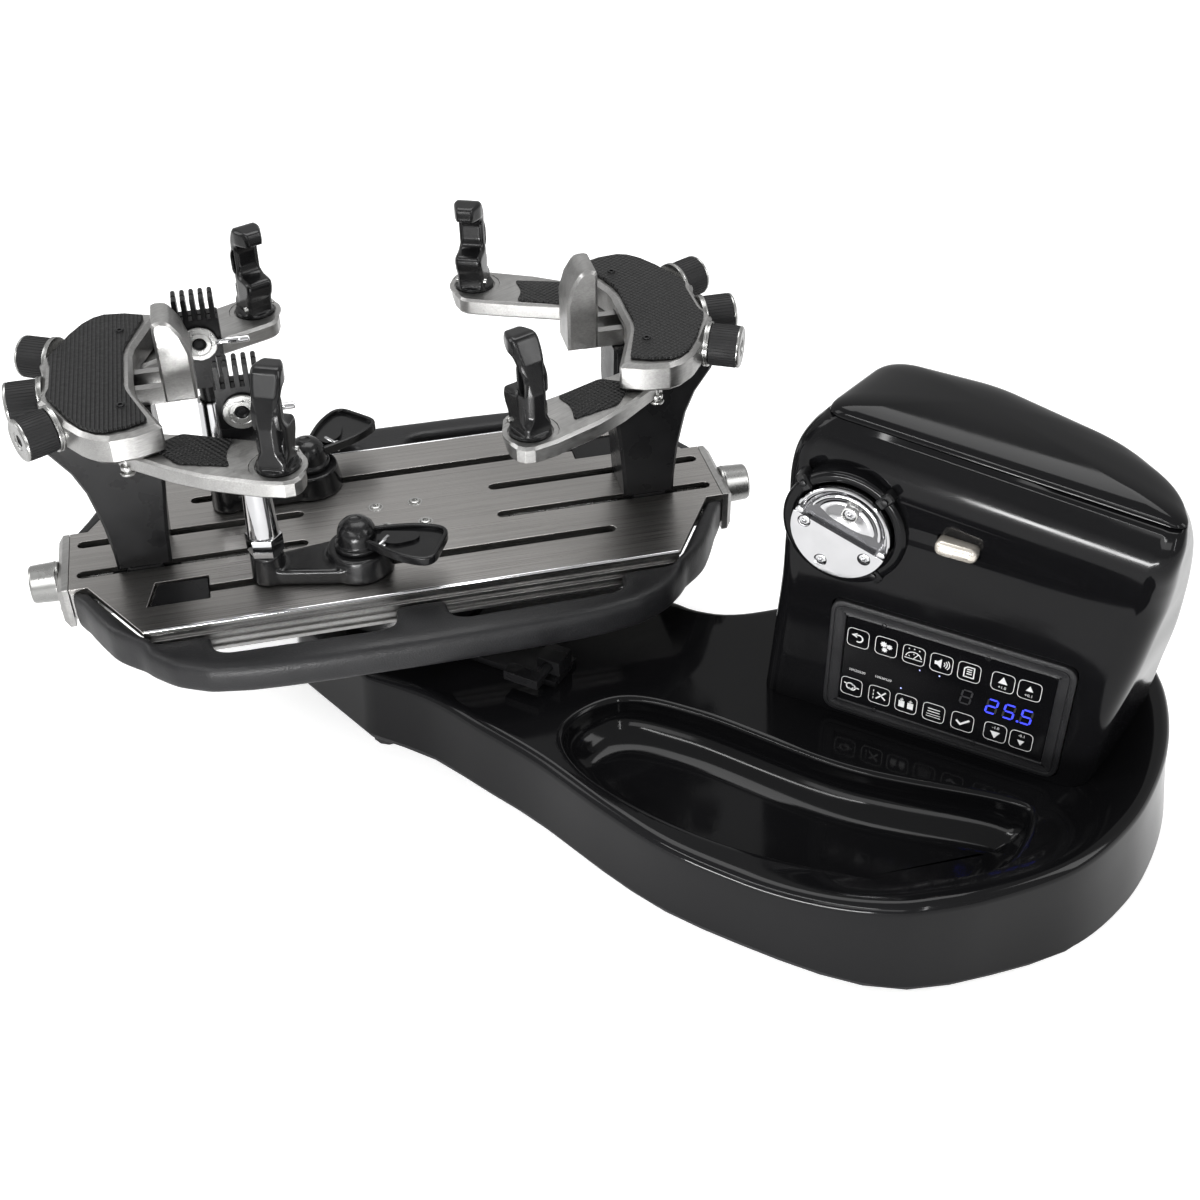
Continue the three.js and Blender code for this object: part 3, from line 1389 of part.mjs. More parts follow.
function addSide(group, place) {
  addPiece(group, "stand_" + place, stand(), satinBlack);
  addPiece(group, "head_" + place, mountingHead(), castAluminium);
  const padLow = HEAD_BOTTOM + HEAD_THICKNESS + SEAT;
  const pad = prism(rounded(headCorners(PAD_MARGIN)), padLow, padLow + PAD_THICKNESS);
  addPiece(group, "head_pad_" + place, pad, rubberBlack);
  addPiece(group, "head_support_" + place, innerSupport(), castAluminium);
  const centre = towardsX(gripKnob(CENTRE_SHAFT_LENGTH)).translate(HEAD_OUTER, 0, supportAxis());
  addPiece(group, "knob_centre_" + place, centre, rubberBlack);
  for (const sign of [-1, 1]) {
    const where = (place === "right") === (sign < 0) ? "front" : "rear";
    const tag = where + "_" + place;
    addPiece(group, "knob_" + tag, sideKnobPlace(towardsX(gripKnob(GRIP_SHAFT_LENGTH)), sign), rubberBlack);
    const half = new THREE.Group();
    half.scale.y = sign;
    group.add(half);
    addPiece(half, "arm_" + tag, arm(), castAluminium);
    const clamp = addPiece(half, "shoulder_clamp_" + tag, shoulderClamp(), satinBlack);
    clamp.position.set(SHOULDER_X, SHOULDER_Y, 0);
    clamp.rotation.z = Math.PI + SHOULDER_ANGLE;
  }
}

// String clamps

function clampSlider() {
  const under = DECK_TOP - DECK_SKIN - SEAT;
  const key = prism(
    stadium(-SLIDER_KEY / 2, SLIDER_KEY / 2, 0, SLOT_WIDTH - 2 * RUN),
    under - SLIDER_NUT_THICKNESS / 2,
    DECK_TOP + SLIDER_KEY_RISE,
  );
  const reach = SLIDER_NUT / 2;
  const nut = block(-reach, reach, -SLOT_WIDTH, SLOT_WIDTH, under - SLIDER_NUT_THICKNESS, under);
  const stub = drum(SLIDER_STUB_RADIUS, DECK_TOP + SEAT, DECK_TOP + SLIDER_STUB_HEIGHT, COARSE);
  return join(key, nut, stub);
}

function clampCasting() {
  const low = DECK_TOP + SEAT;
  const body = drum(CASTING_RADIUS, low, low + CASTING_HEIGHT, FINE, CASTING_RADIUS * 0.89);
  const pillar = drum(PILLAR_RADIUS * 1.08, low, low + PILLAR_HEIGHT, ROUND, PILLAR_RADIUS);
  const webHalf = WEB_WIDTH / 2;
  const webShape = rounded([
    [-CLAMP_REACH, -webHalf],
    [0, -CASTING_RADIUS * 0.92],
    [0, CASTING_RADIUS * 0.92],
    [-CLAMP_REACH, webHalf],
  ]);
  const web = prism(webShape, low, low + WEB_HEIGHT);
  const bore = drum(SLIDER_STUB_RADIUS + RUN, low - OVERRUN, DECK_TOP + SLIDER_STUB_HEIGHT + RUN, COARSE);
  const recess = drum(SLIDER_KEY / 2 + RUN, low - OVERRUN, DECK_TOP + SLIDER_KEY_RISE + RUN, ROUND);
  return cut(join(body, pillar.translate(-CLAMP_REACH, 0, 0), web), bore, recess);
}

function lockLever() {
  const low = DECK_TOP + SEAT + CASTING_HEIGHT + SEAT;
  const high = low + DOME_HEIGHT;
  const dome = turned([
    [0, low],
    [DOME_RADIUS * 0.9, low],
    [DOME_RADIUS, low + DOME_RADIUS * 0.1],
    [DOME_RADIUS, low + DOME_HEIGHT * 0.5],
    [DOME_RADIUS * 0.8, low + DOME_HEIGHT * 0.85],
    [DOME_RADIUS * 0.45, high],
    [0, high],
  ]);
  const half = LOOP_WIDTH / 2;
  const loop = (inset) => [
    [DOME_RADIUS / 2 + inset, -DOME_RADIUS / 2 + inset / 4, LOOP_EDGE],
    [LOOP_LENGTH * 0.62, -half + inset, half],
    [LOOP_LENGTH - inset, -half + inset, half / 2],
    [LOOP_LENGTH - inset, half - inset, half / 2],
    [LOOP_LENGTH * 0.62, half - inset, half],
    [DOME_RADIUS / 2 + inset, DOME_RADIUS / 2 - inset / 4, LOOP_EDGE],
  ];
  const at = low + LOOP_LIFT;
  const ring = bevelled(loop(0), at, at + LOOP_THICKNESS, LOOP_EDGE, FINGER_CURVE);
  const hole = prism(rounded(loop(LOOP_BAR)), at - OVERRUN, at + LOOP_THICKNESS + OVERRUN, FINGER_CURVE);
  return join(dome, cut(ring, hole));
}

function clampPost() {
  const low = DECK_TOP + SEAT + PILLAR_HEIGHT + SEAT;
  const hexTop = low + HEX_HEIGHT;
  const high = DECK_TOP + POST_RISE;
  const hex = drum(HEX_FLATS / Math.sqrt(3), low, hexTop, 6);
  const cone = drum(POST_FOOT_RADIUS, hexTop - OVERRUN / 2, high, ROUND, POST_TOP_RADIUS);
  const bore = drum(POST_BORE, high - POST_BORE_DEPTH, high + OVERRUN, ROUND);
  return cut(join(hex, cone), bore);
}

function comb(near, far, low) {
  const high = DECK_TOP + CLAMP_TOP_RISE;
  const half = JAW_WIDTH / 2;
  const root = high - TOOTH_HEIGHT;
  const plate = block(-half, half, near, far, low, root);
  const pitch = JAW_WIDTH / TOOTH_COUNT;
  const teeth = Array.from({ length: TOOTH_COUNT }, (_, i) => {
    const middle = -half + pitch * (i + 0.5);
    const reach = (pitch * TOOTH_FILL) / 2;
    const shape = rounded([
      [middle - reach, root - OVERRUN],
      [middle + reach, root - OVERRUN],
      [middle + reach, high, reach],
      [middle - reach, high, reach],
    ]);
    return slab(shape, near, far, 2);
  });
  return join(plate, ...teeth);
}

function clampHead() {
  const low = DECK_TOP + CLAMP_BODY_RISE;
  const half = JAW_WIDTH / 2;
  const thick = JAW_GAP / 2 + JAW_THICKNESS;
  const bodyHigh = low + CLAMP_BODY_HEIGHT;
  const body = block(-half, half, -thick, thick, low, bodyHigh);
  const stemLow = DECK_TOP + POST_RISE - POST_BORE_DEPTH + LIFT + RUN;
  const stem = drum(STEM_RADIUS, stemLow, low + OVERRUN, ROUND);
  return join(body, stem, comb(JAW_GAP / 2, thick, bodyHigh - OVERRUN));
}

function clampJaw() {
  const low = DECK_TOP + CLAMP_BODY_RISE + CLAMP_BODY_HEIGHT + SEAT;
  return comb(-JAW_GAP / 2 - JAW_THICKNESS, -JAW_GAP / 2, low);
}

function camLever() {
  const back = -JAW_GAP / 2 - JAW_THICKNESS - SEAT;
  const disc = drum(DIAL_RADIUS, 0, DIAL_THICKNESS, ROUND);
  const handle = prism(stadium(0, CAM_LENGTH, 0, CAM_WIDTH), 0, DIAL_THICKNESS, 4);
  return towardsFront(join(disc, handle)).translate(0, back, DECK_TOP + DIAL_RISE);
}

function addStringClamp(group, place, x, y, heading, lever) {
  const carrier = new THREE.Group();
  carrier.position.set(x, y, 0);
  group.add(carrier);
  addPiece(carrier, "clamp_slider_" + place, clampSlider(), brushedSteel);
  const swivel = new THREE.Group();
  swivel.rotation.z = heading;
  carrier.add(swivel);
  addPiece(swivel, "clamp_base_" + place, clampCasting(), satinBlack);
  const lock = addPiece(carrier, "lock_lever_" + place, lockLever(), satinBlack);
  lock.rotation.z = lever;
  const post = new THREE.Group();
  const reach = new THREE.Vector3(-CLAMP_REACH, 0, 0).applyAxisAngle(new THREE.Vector3(0, 0, 1), heading);
  post.position.copy(reach);
  carrier.add(post);
  addPiece(post, "clamp_post_" + place, clampPost(), chrome);
  addPiece(post, "clamp_head_" + place, clampHead(), satinBlack);
  addPiece(post, "clamp_jaw_" + place, clampJaw(), satinBlack);
  addPiece(post, "cam_lever_" + place, camLever(), castAluminium);
}

function build() {
  addBase(machine);
  addTower(machine);
  addPiece(machine, "turntable_pedestal", pedestal(), satinBlack);
  addPiece(machine, "brake_lever", brakeLever(), satinBlack);
  const turntable = new THREE.Group();
  turntable.rotation.z = TURN;
  machine.add(turntable);
  addDeck(turntable);
  addStringClamp(turntable, "front", FRONT_CLAMP_X, -CLAMP_SLOT_Y, FRONT_CLAMP_HEADING, FRONT_LEVER_HEADING);
  addStringClamp(turntable, "rear", REAR_CLAMP_X, CLAMP_SLOT_Y, REAR_CLAMP_HEADING, REAR_LEVER_HEADING);
}

build();

// The origin is the middle of the machine's footprint, on the table
const extent = new THREE.Box3().setFromObject(machine, true);
const middle = extent.getCenter(new THREE.Vector3());
machine.position.set(-middle.x, -middle.y, 0);

const stringingMachine = new THREE.Group();
stringingMachine.add(machine);

export default stringingMachine;
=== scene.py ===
# Racket stringing machine: finishes and fine surfaces over the fixed frame of its solids.
# Metres, Z up, the table top at Z = 0, the user at -Y. Sizes in the tables are millimetres.
import json
import math

import bmesh
import bpy
from mathutils import Matrix, Vector


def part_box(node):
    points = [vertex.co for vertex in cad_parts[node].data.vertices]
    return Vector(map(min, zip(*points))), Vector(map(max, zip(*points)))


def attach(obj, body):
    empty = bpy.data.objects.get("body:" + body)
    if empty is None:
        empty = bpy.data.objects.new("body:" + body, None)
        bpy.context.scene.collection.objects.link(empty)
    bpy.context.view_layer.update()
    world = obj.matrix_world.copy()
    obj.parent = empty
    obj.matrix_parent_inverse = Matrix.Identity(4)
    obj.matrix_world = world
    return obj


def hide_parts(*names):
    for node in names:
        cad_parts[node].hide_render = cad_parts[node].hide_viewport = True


bl_info = {
    "name": "Racket stringing machine",
    "version": (1, 0, 0),
    "blender": (4, 5, 0),
    "location": "View3D > Sidebar > Stringer",
    "description": "Builds the finishes and fine surfaces of an electric racket stringing machine",
    "category": "Object",
}

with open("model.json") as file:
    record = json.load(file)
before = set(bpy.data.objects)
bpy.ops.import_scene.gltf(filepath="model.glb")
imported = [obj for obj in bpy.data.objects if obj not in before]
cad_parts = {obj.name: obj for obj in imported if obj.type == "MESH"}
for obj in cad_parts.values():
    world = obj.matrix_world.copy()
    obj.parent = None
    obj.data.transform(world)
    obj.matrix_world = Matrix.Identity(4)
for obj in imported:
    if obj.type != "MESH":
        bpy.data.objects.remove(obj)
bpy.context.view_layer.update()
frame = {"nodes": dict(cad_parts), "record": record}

MM = 0.001
UP = Vector((0, 0, 1))
BODIES = frame["record"]["behaviour"]["bodies"]
BODY_OF = {node: body for body, nodes in BODIES.items() for node in nodes}
SLOT_OF = {part["node"]: part["material_slot"] for part in frame["record"]["subparts"]}
TURN = math.radians(41.2)
ENDS = (("right", 1), ("left", -1))


def middle_of(node):
    low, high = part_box(node)
    return (Vector(low) + Vector(high)) / 2


AXIS = Vector((*middle_of("turntable_hub").xy, 0))


def machine(x, y, z):
    """A point of the machine's own axes in millimetres, from the turntable's axis and the table."""
    return AXIS + Vector((x, y, z)) * MM


def deck(u, v, z):
    """A point in the turned axes of the deck: u along it, v across it, z above the table."""
    return AXIS + Matrix.Rotation(TURN, 3, "Z") @ (Vector((u, v, z)) * MM)


def end_of_deck(end):
    """The deck's axes as seen from one end: the left end is the right one turned half round."""
    return lambda u, v, z: deck(end * u, end * v, z)


def where_of(sign, side):
    """Whether a side of one end is at the machine's front or rear."""
    return "front" if sign * side < 0 else "rear"


def facing(x, z):
    """A place function about a point of the tower's front, with Z towards the user."""
    return lambda a, b, c: machine(x + a, -c, z + b)


def shifted(place, x, y, z=0.0):
    return lambda a, b, c: place(a + x, b + y, c + z)


def heading(place, along, across, rise=0.0):
    """The direction of a place function's own axes."""
    return (place(along, across, rise) - place(0, 0, 0)).normalized()


def along_axis(origin, axis):
    """A place function for millimetres from an origin, with Z along an axis."""
    turn = axis.to_track_quat("Z", "Y").to_matrix()
    return lambda x, y, z: origin + turn @ (Vector((x, y, z)) * MM)


# Sizes and colours that a user would change


def length(name, description, default, low):
    return bpy.props.FloatProperty(
        name=name, description=description, default=default, min=low, unit="LENGTH"
    )


def tone(name, description, default):
    return bpy.props.FloatVectorProperty(
        name=name, description=description, default=default, subtype="COLOR"
    )


class STRINGER_PG_sizes(bpy.types.PropertyGroup):
    """Sizes of the small fittings"""

    edge: length("Edge", "Rounding of machined edges", 0.0006, 0)
    screw: length("Screw", "Radius of a deck screw's head", 0.006, 0.001)
    small_screw: length("Small screw", "Radius of a trim screw's head", 0.0022, 0.001)
    knob_ribs: bpy.props.IntProperty(
        name="Knob ribs", description="Ribs round a rubber grip", default=40, min=6, max=80
    )
    pad_pitch: length("Pad pitch", "Spacing of a pad's ribs", 0.0031, 0.001)


class STRINGER_PG_colours(bpy.types.PropertyGroup):
    """Colours of the main finishes"""

    cover: tone("Cover", "Polished covers", (0.0045, 0.0045, 0.005))
    plastic: tone("Plastic", "Grained bumpers and pan", (0.011, 0.011, 0.012))
    paint: tone("Paint", "Painted metal", (0.007, 0.007, 0.0075))
    casting: tone("Casting", "Aluminium castings", (0.55, 0.545, 0.535))
    plate: tone("Plate", "Brushed deck", (0.32, 0.31, 0.3))
    display: tone("Display", "Lit digits", (0.045, 0.06, 1.0))


def sizes():
    return bpy.context.scene.stringer_sizes


# Node trees and finishes


class Nodes:
    """Adds nodes to an emptied tree, with their settings, values and links."""

    def __init__(self, tree):
        self.tree = tree
        tree.nodes.clear()

    def plug(self, value, socket):
        """Links a socket to another, or gives it a value."""
        if isinstance(value, bpy.types.NodeSocket):
            self.tree.links.new(value, socket)
        else:
            socket.default_value = value

    def add(self, kind, settings=None, **inputs):
        node = self.tree.nodes.new(kind)
        for key, value in (settings or {}).items():
            setattr(node, key, value)
        for key, value in inputs.items():
            self.plug(value, node.inputs[key.replace("_", " ")])
        return node

    def math(self, operation, *values):
        node = self.add("ShaderNodeMath", {"operation": operation})
        for value, socket in zip(values, node.inputs):
            self.plug(value, socket)
        return node.outputs[0]


class Finish(Nodes):
    """A material built from nodes on Object coordinates."""

    def __init__(self, name, **values):
        self.material = bpy.data.materials.new(name)
        self.material.use_nodes = True
        super().__init__(self.material.node_tree)
        self.shader = self.add("ShaderNodeBsdfPrincipled", **values)
        self.add("ShaderNodeOutputMaterial", Surface=self.shader.outputs[0])
        self.place = self.add("ShaderNodeTexCoord").outputs["Object"]

    def turned(self, angle, scale):
        """The place in axes turned by an angle about Z, then scaled."""
        settings, shares = {"vector_type": "TEXTURE"}, tuple(1 / value for value in scale)
        return self.add(
            "ShaderNodeMapping", settings, Vector=self.place, Rotation=(0, 0, angle), Scale=shares
        ).outputs[0]

    def noise(self, scale, detail=4.0, rough=0.5, where=None):
        return self.add(
            "ShaderNodeTexNoise",
            Vector=where or self.place, Scale=scale, Detail=detail, Roughness=rough,
        ).outputs["Fac"]

    def spread(self, value, low, high, start, end):
        """The value's stretch from start to end, spread from low to high."""
        return self.add(
            "ShaderNodeMapRange", Value=value, From_Min=start, From_Max=end, To_Min=low, To_Max=high
        ).outputs[0]

    def colour(self, factor, first, second):
        """Mixes the finish's colour from two."""
        node = self.add("ShaderNodeMix", {"data_type": "RGBA"}, Factor=factor)
        node.inputs[6].default_value = (*first, 1)
        node.inputs[7].default_value = (*second, 1)
        self.plug(node.outputs[2], self.shader.inputs["Base Color"])

    def roughness(self, value, low, high, start=0.3, end=0.7):
        self.plug(self.spread(value, low, high, start, end), self.shader.inputs["Roughness"])

    def bump(self, height, strength, distance):
        node = self.add("ShaderNodeBump", Height=height, Strength=strength, Distance=distance)
        self.plug(node.outputs[0], self.shader.inputs["Normal"])


def shades(name, *shares):
    """A colour of the user's made darker or lighter by each share."""
    colour = getattr(bpy.context.scene.stringer_colours, name)
    return [tuple(min(1.0, value * share) for value in colour) for share in shares]


def textured_plastic():
    """Black plastic with a fine leather grain, as on the pan and the bumpers."""
    finish = Finish("textured_plastic", Specular_IOR_Level=0.3)
    grain = finish.add("ShaderNodeTexVoronoi", Vector=finish.place, Scale=700.0).outputs["Distance"]
    cloud = finish.noise(30.0)
    finish.colour(cloud, *shades("plastic", 0.7, 1.3))
    finish.roughness(cloud, 0.34, 0.5)
    finish.bump(grain, 0.25, 0.0006)
    return finish.material


def cast_metal():
    """Linished and clear-anodised aluminium casting."""
    finish = Finish("cast_metal", Metallic=1.0)
    cloud = finish.noise(25.0, 5.0, 0.6)
    lines = finish.noise(1.0, 4.0, 0.6, finish.turned(TURN + 0.5, (40.0, 900.0, 900.0)))
    mixed = finish.spread(finish.math("MULTIPLY", cloud, lines), 0, 1, 0.1, 0.4)
    finish.colour(mixed, *shades("casting", 0.5, 0.8))
    finish.roughness(finish.noise(180.0, 4.0, 0.6), 0.28, 0.42)
    finish.bump(finish.math("ADD", lines, finish.noise(1500.0, 2.0)), 0.12, 0.0003)
    return finish.material


def brushed_deck():
    """Brushed plate with its grain along the deck."""
    finish = Finish("brushed_deck", Metallic=1.0)
    streaks = finish.noise(1.0, 5.0, 0.6, finish.turned(TURN, (1.5, 420.0, 420.0)))
    hair = finish.noise(1.0, 3.0, 0.5, finish.turned(TURN, (6.0, 2600.0, 2600.0)))
    finish.colour(finish.spread(streaks, 0, 1, 0.3, 0.7), *shades("plate", 0.98, 1.2))
    finish.roughness(hair, 0.24, 0.4)
    finish.bump(hair, 0.1, 0.0003)
    return finish.material


def ribbed_pad():
    """Pad rubber moulded in close ribs across the deck, coloured with painted shade in the grooves
    and painted highlight on the crests.
    """
    finish = Finish("ribbed_pad", Specular_IOR_Level=0.35)
    axes = finish.turned(TURN, [2 * math.pi / sizes().pad_pitch] * 3)
    along = finish.add("ShaderNodeSeparateXYZ", Vector=axes).outputs["X"]
    wave = finish.math("SINE", along)
    # The colour follows the ribs: darker in the grooves as painted shade, lighter on the crests as
    # painted highlight
    finish.colour(finish.spread(wave, 0, 1, -1, 1), (0.004, 0.004, 0.004), (0.014, 0.014, 0.0145))
    finish.roughness(finish.noise(300.0), 0.42, 0.6)
    finish.bump(wave, 0.9, 0.0008)
    return finish.material


def gripped_pad():
    """Pad rubber moulded in small pyramids, coloured with painted shade between them and painted
    highlight on their tops.
    """
    finish = Finish("gripped_pad", Specular_IOR_Level=0.35)
    turned = finish.turned(TURN + 0.6, [2 * math.pi / (sizes().pad_pitch * 1.15)] * 3)
    axes = finish.add("ShaderNodeSeparateXYZ", Vector=turned)
    waves = [finish.math("SINE", axes.outputs[axis]) for axis in "XY"]
    crossed = finish.math("ADD", *waves)
    # The colour follows the pyramids: darker between them as painted shade, lighter on their tops
    # as painted highlight
    mixed = finish.spread(crossed, 0, 1, -2, 2)
    finish.colour(mixed, (0.003, 0.003, 0.003), (0.018, 0.018, 0.0185))
    finish.roughness(finish.noise(300.0), 0.4, 0.58)
    finish.bump(crossed, 0.9, 0.0008)
    return finish.material


GRAINED = {
    maker.__name__: maker
    for maker in (textured_plastic, cast_metal, brushed_deck, ribbed_pad, gripped_pad)
}
# Finishes that only cloud: the shader's values, noise of the cloud, two colours or a user's colour
# with two shares, range of roughness and its own noise, the bump's noise, strength and distance
CLOUDED = {
    # Polished black moulding with a faint ripple
    "gloss_cover": dict(
        values={"Specular_IOR_Level": 0.17}, cloud=(9, 3), tones=("cover", 0.7, 1.3),
        rough=(0.07, 0.14, 0.35), own=(22, 5, 0.6), grain=(30, 2, 0.03, 0.002),
    ),
    # Satin black powder coat
    "satin_paint": dict(
        values={"Specular_IOR_Level": 0.2}, cloud=(40, 5), tones=("paint", 0.7, 1.4),
        rough=(0.22, 0.36), grain=(1400, 2, 0.08, 0.0003),
    ),
    # Glossy black enamel on a casting
    "gloss_casting": dict(
        values={"Specular_IOR_Level": 0.32}, cloud=(40, 5), tones=("paint", 0.6, 1.2),
        rough=(0.14, 0.28), own=(60, 4), grain=(260, 3, 0.06, 0.0008),
    ),
    "polished_chrome": dict(
        values={"Metallic": 1}, cloud=(60, 4), tones=((0.5, 0.5, 0.51), (0.62, 0.62, 0.63)),
        rough=(0.04, 0.09),
    ),
    "turned_metal": dict(
        values={"Metallic": 1}, cloud=(60, 4), tones=((0.3, 0.3, 0.295), (0.38, 0.38, 0.37)),
        rough=(0.24, 0.32), own=(120, 3),
    ),
    # Plain steel of screws and spindles
    "satin_steel": dict(
        values={"Metallic": 1}, cloud=(90, 4), tones=((0.4, 0.4, 0.39), (0.56, 0.56, 0.55)),
        rough=(0.2, 0.34),
    ),
    "black_rubber": dict(
        values={"Specular_IOR_Level": 0.3}, cloud=(70, 4),
        tones=((0.009, 0.009, 0.0095), (0.018, 0.018, 0.0185)),
        rough=(0.5, 0.7), grain=(2200, 2, 0.2, 0.0003),
    ),
    "dark_glass": dict(
        values={"Specular_IOR_Level": 0.4}, cloud=(14, 3),
        tones=((0.002, 0.002, 0.0025), (0.004, 0.004, 0.0045)), rough=(0.08, 0.16),
    ),
    "pearl_button": dict(
        values={"Metallic": 0.6, "Coat_Weight": 0.5, "Coat_Roughness": 0.05}, cloud=(80, 4),
        tones=((0.6, 0.54, 0.46), (0.86, 0.82, 0.75)), rough=(0.15, 0.3),
    ),
    # Pale grey print behind the glass
    "printed_mark": dict(
        values={"Roughness": 0.5}, cloud=(500, 3), tones=((0.5, 0.5, 0.5), (0.72, 0.72, 0.72)),
    ),
    # Display segments that are off and on, and a small lamp lit bluish white
    "faint_segment": dict(
        values={"Roughness": 0.3}, cloud=(500, 3),
        tones=((0.018, 0.018, 0.02), (0.03, 0.03, 0.032)),
    ),
    "lit_segment": dict(
        values={"Roughness": 0.4, "Emission_Strength": 1.1}, cloud=(500, 3),
        tones=("display", 0.5, 1),
    ),
    "lit_dot": dict(
        values={"Roughness": 0.4, "Emission_Strength": 1}, cloud=(500, 3),
        tones=((0.3, 0.35, 0.8), (0.5, 0.55, 1.0)),
    ),
}
# The finish of each slot
FINISHES = {
    "cover": "gloss_cover",
    "plastic": "textured_plastic",
    "black": "satin_paint",
    "casting": "cast_metal",
    "deck": "brushed_deck",
    "chrome": "polished_chrome",
    "rubber": "black_rubber",
    "glass": "dark_glass",
    "button": "pearl_button",
}


def clouded(name, values, cloud, tones, rough=None, own=None, grain=None):
    """A finish of the table; one that glows does so in its second colour."""
    finish = Finish(name, **values)
    dark, light = shades(*tones) if isinstance(tones[0], str) else tones
    if "Emission_Strength" in values:
        finish.shader.inputs["Emission Color"].default_value = (*light, 1)
    factor = finish.noise(*cloud)
    finish.colour(factor, dark, light)
    if rough:
        finish.roughness(finish.noise(*own) if own else factor, *rough)
    if grain:
        finish.bump(finish.noise(*grain[:2]), *grain[2:])
    return finish.material


def finish_of(name):
    """A finish by its name, made on first use."""
    known = bpy.data.materials.get(name)
    return known or (GRAINED[name]() if name in GRAINED else clouded(name, **CLOUDED[name]))


# Meshes


def neighbours(loop):
    """Each item of a closed loop with the one before and the one after it."""
    return zip([loop[-1], *loop[:-1]], loop, [*loop[1:], loop[0]])


def curved(points, stretch, closed=False):
    """Points along a smooth curve through the given ones."""
    count = len(points)
    result = []
    for i in range(count if closed else count - 1):
        near = [i + step if not closed else (i + step) % count for step in (-1, 0, 1, 2)]
        a, b, c, d = (Vector(points[min(max(k, 0), count - 1)]) for k in near)
        start, end = (c - a) / 2, (d - b) / 2
        bend = 3 * (c - b) - 2 * start - end
        twist = 2 * (b - c) + start + end
        for step in range(stretch):
            t = step / stretch
            result.append(b + start * t + bend * t**2 + twist * t**3)
    return result if closed else [*result, Vector(points[-1])]


def spaced(loop, count):
    """A closed loop's points at even steps, counterclockwise."""
    closed = [*loop, loop[0]]
    reach = [0.0]
    for before, after in zip(closed, closed[1:]):
        reach.append(reach[-1] + (after - before).length)
    result, k = [], 0
    for i in range(count):
        goal = reach[-1] * i / count
        while reach[k + 1] < goal:
            k += 1
        part = (goal - reach[k]) / max(reach[k + 1] - reach[k], 1e-9)
        result.append(closed[k].lerp(closed[k + 1], part))
    area = sum(a.x * b.y - b.x * a.y for _, a, b in neighbours(result))
    return result if area > 0 else result[::-1]


def stepped(loop, steps, calm=0):
    """Rings that step in from a loop: pairs of an inset and a height, each a number or a rule.

    A calm above zero evens out the directions of the steps round sharp corners."""
    ways = []
    for before, _, after in neighbours(loop):
        along = (after - before).normalized()
        ways.append(Vector((-along.y, along.x)))
    for _ in range(calm):
        ways = [(a + 2 * b + c).normalized() for a, b, c in neighbours(ways)]
    rings = []
    for inset, height in steps:
        ring = []
        for here, way in zip(loop, ways):
            reach = inset(here) if callable(inset) else inset
            rise = height(here) if callable(height) else height
            ring.append((*(here + way * reach), rise))
        rings.append(ring)
    return rings


def lofted(rings, place, caps=True):
    """A skin over rings of points, each ring counterclockwise as seen from the next."""
    shape = bmesh.new()
    rows = [[shape.verts.new(place(*point)) for point in ring] for ring in rings]
    for low, high in zip(rows, rows[1:]):
        for i, corner in enumerate(low):
            after = (i + 1) % len(low)
            shape.faces.new((corner, low[after], high[after], high[i]))
    if caps:
        shape.faces.new(rows[0][::-1])
        shape.faces.new(rows[-1])
    return shape


def lathe(profile, sides=64, lobes=None):
    """Rings about Z from pairs of radius and height; lobes gives a ring's outline as a rule."""
    rings = []
    for i, (radius, height) in enumerate(profile):
        ring = []
        for k in range(sides):
            angle = 2 * math.pi * k / sides
            reach = radius * (lobes[i](angle) if lobes and lobes[i] else 1.0)
            ring.append((reach * math.cos(angle), reach * math.sin(angle), height))
        rings.append(ring)
    return rings


def rounded(corners, segments=6):
    """Corners of x, y and rounding as a loop, each rounded over that length of its two sides."""
    loop = []
    for before, here, after in neighbours(corners):
        point = Vector(here[:2])
        if here[2] <= 0:
            loop.append(point)
            continue
        sides = [Vector(other[:2]) - point for other in (before, after)]
        reaches = [min(here[2], side.length * 0.49) for side in sides]
        enter, leave = (point + side.normalized() * reach for side, reach in zip(sides, reaches))
        for step in range(segments + 1):
            t = step / segments
            loop.append(enter * (1 - t) ** 2 + point * 2 * t * (1 - t) + leave * t**2)
    return loop


def rectangle(left, low, right, high, radius=0.0, segments=6):
    """A rectangle with rounded corners, as a loop."""
    corners = ((left, low), (right, low), (right, high), (left, high))
    return rounded([(*corner, radius) for corner in corners], segments)


def plate(loop, low, high, place, edge=0.0):
    """A flat plate with its outline in the first two axes and bevelled edges."""
    if edge:
        steps = [(edge, low), (0, low + edge), (0, high - edge), (edge, high)]
    else:
        steps = [(0, low), (0, high)]
    return lofted(stepped([Vector(point) for point in loop], steps), place)


def mesh_of(name, shape):
    """A shape as a mesh."""
    mesh = bpy.data.meshes.new(name)
    shape.to_mesh(mesh)
    shape.free()
    return mesh


def joined(shapes):
    """Several shapes as one."""
    whole = bmesh.new()
    for shape in shapes:
        part = mesh_of("part", shape)
        whole.from_mesh(part)
        bpy.data.meshes.remove(part)
    return whole


# Pieces


def placed(name, data):
    """A new object in the scene."""
    item = bpy.data.objects.new(name, data)
    bpy.context.scene.collection.objects.link(item)
    return item


def evaluated_mesh(item):
    """The mesh that an object's modifiers or curves make."""
    depsgraph = bpy.context.evaluated_depsgraph_get()
    return bpy.data.meshes.new_from_object(item.evaluated_get(depsgraph))


def smoothed(mesh, angle):
    """Shades a mesh smooth, but for its edges that turn by more than an angle."""
    for polygon in mesh.polygons:
        polygon.use_smooth = True
    mesh.set_sharp_from_angle(angle=math.radians(angle))


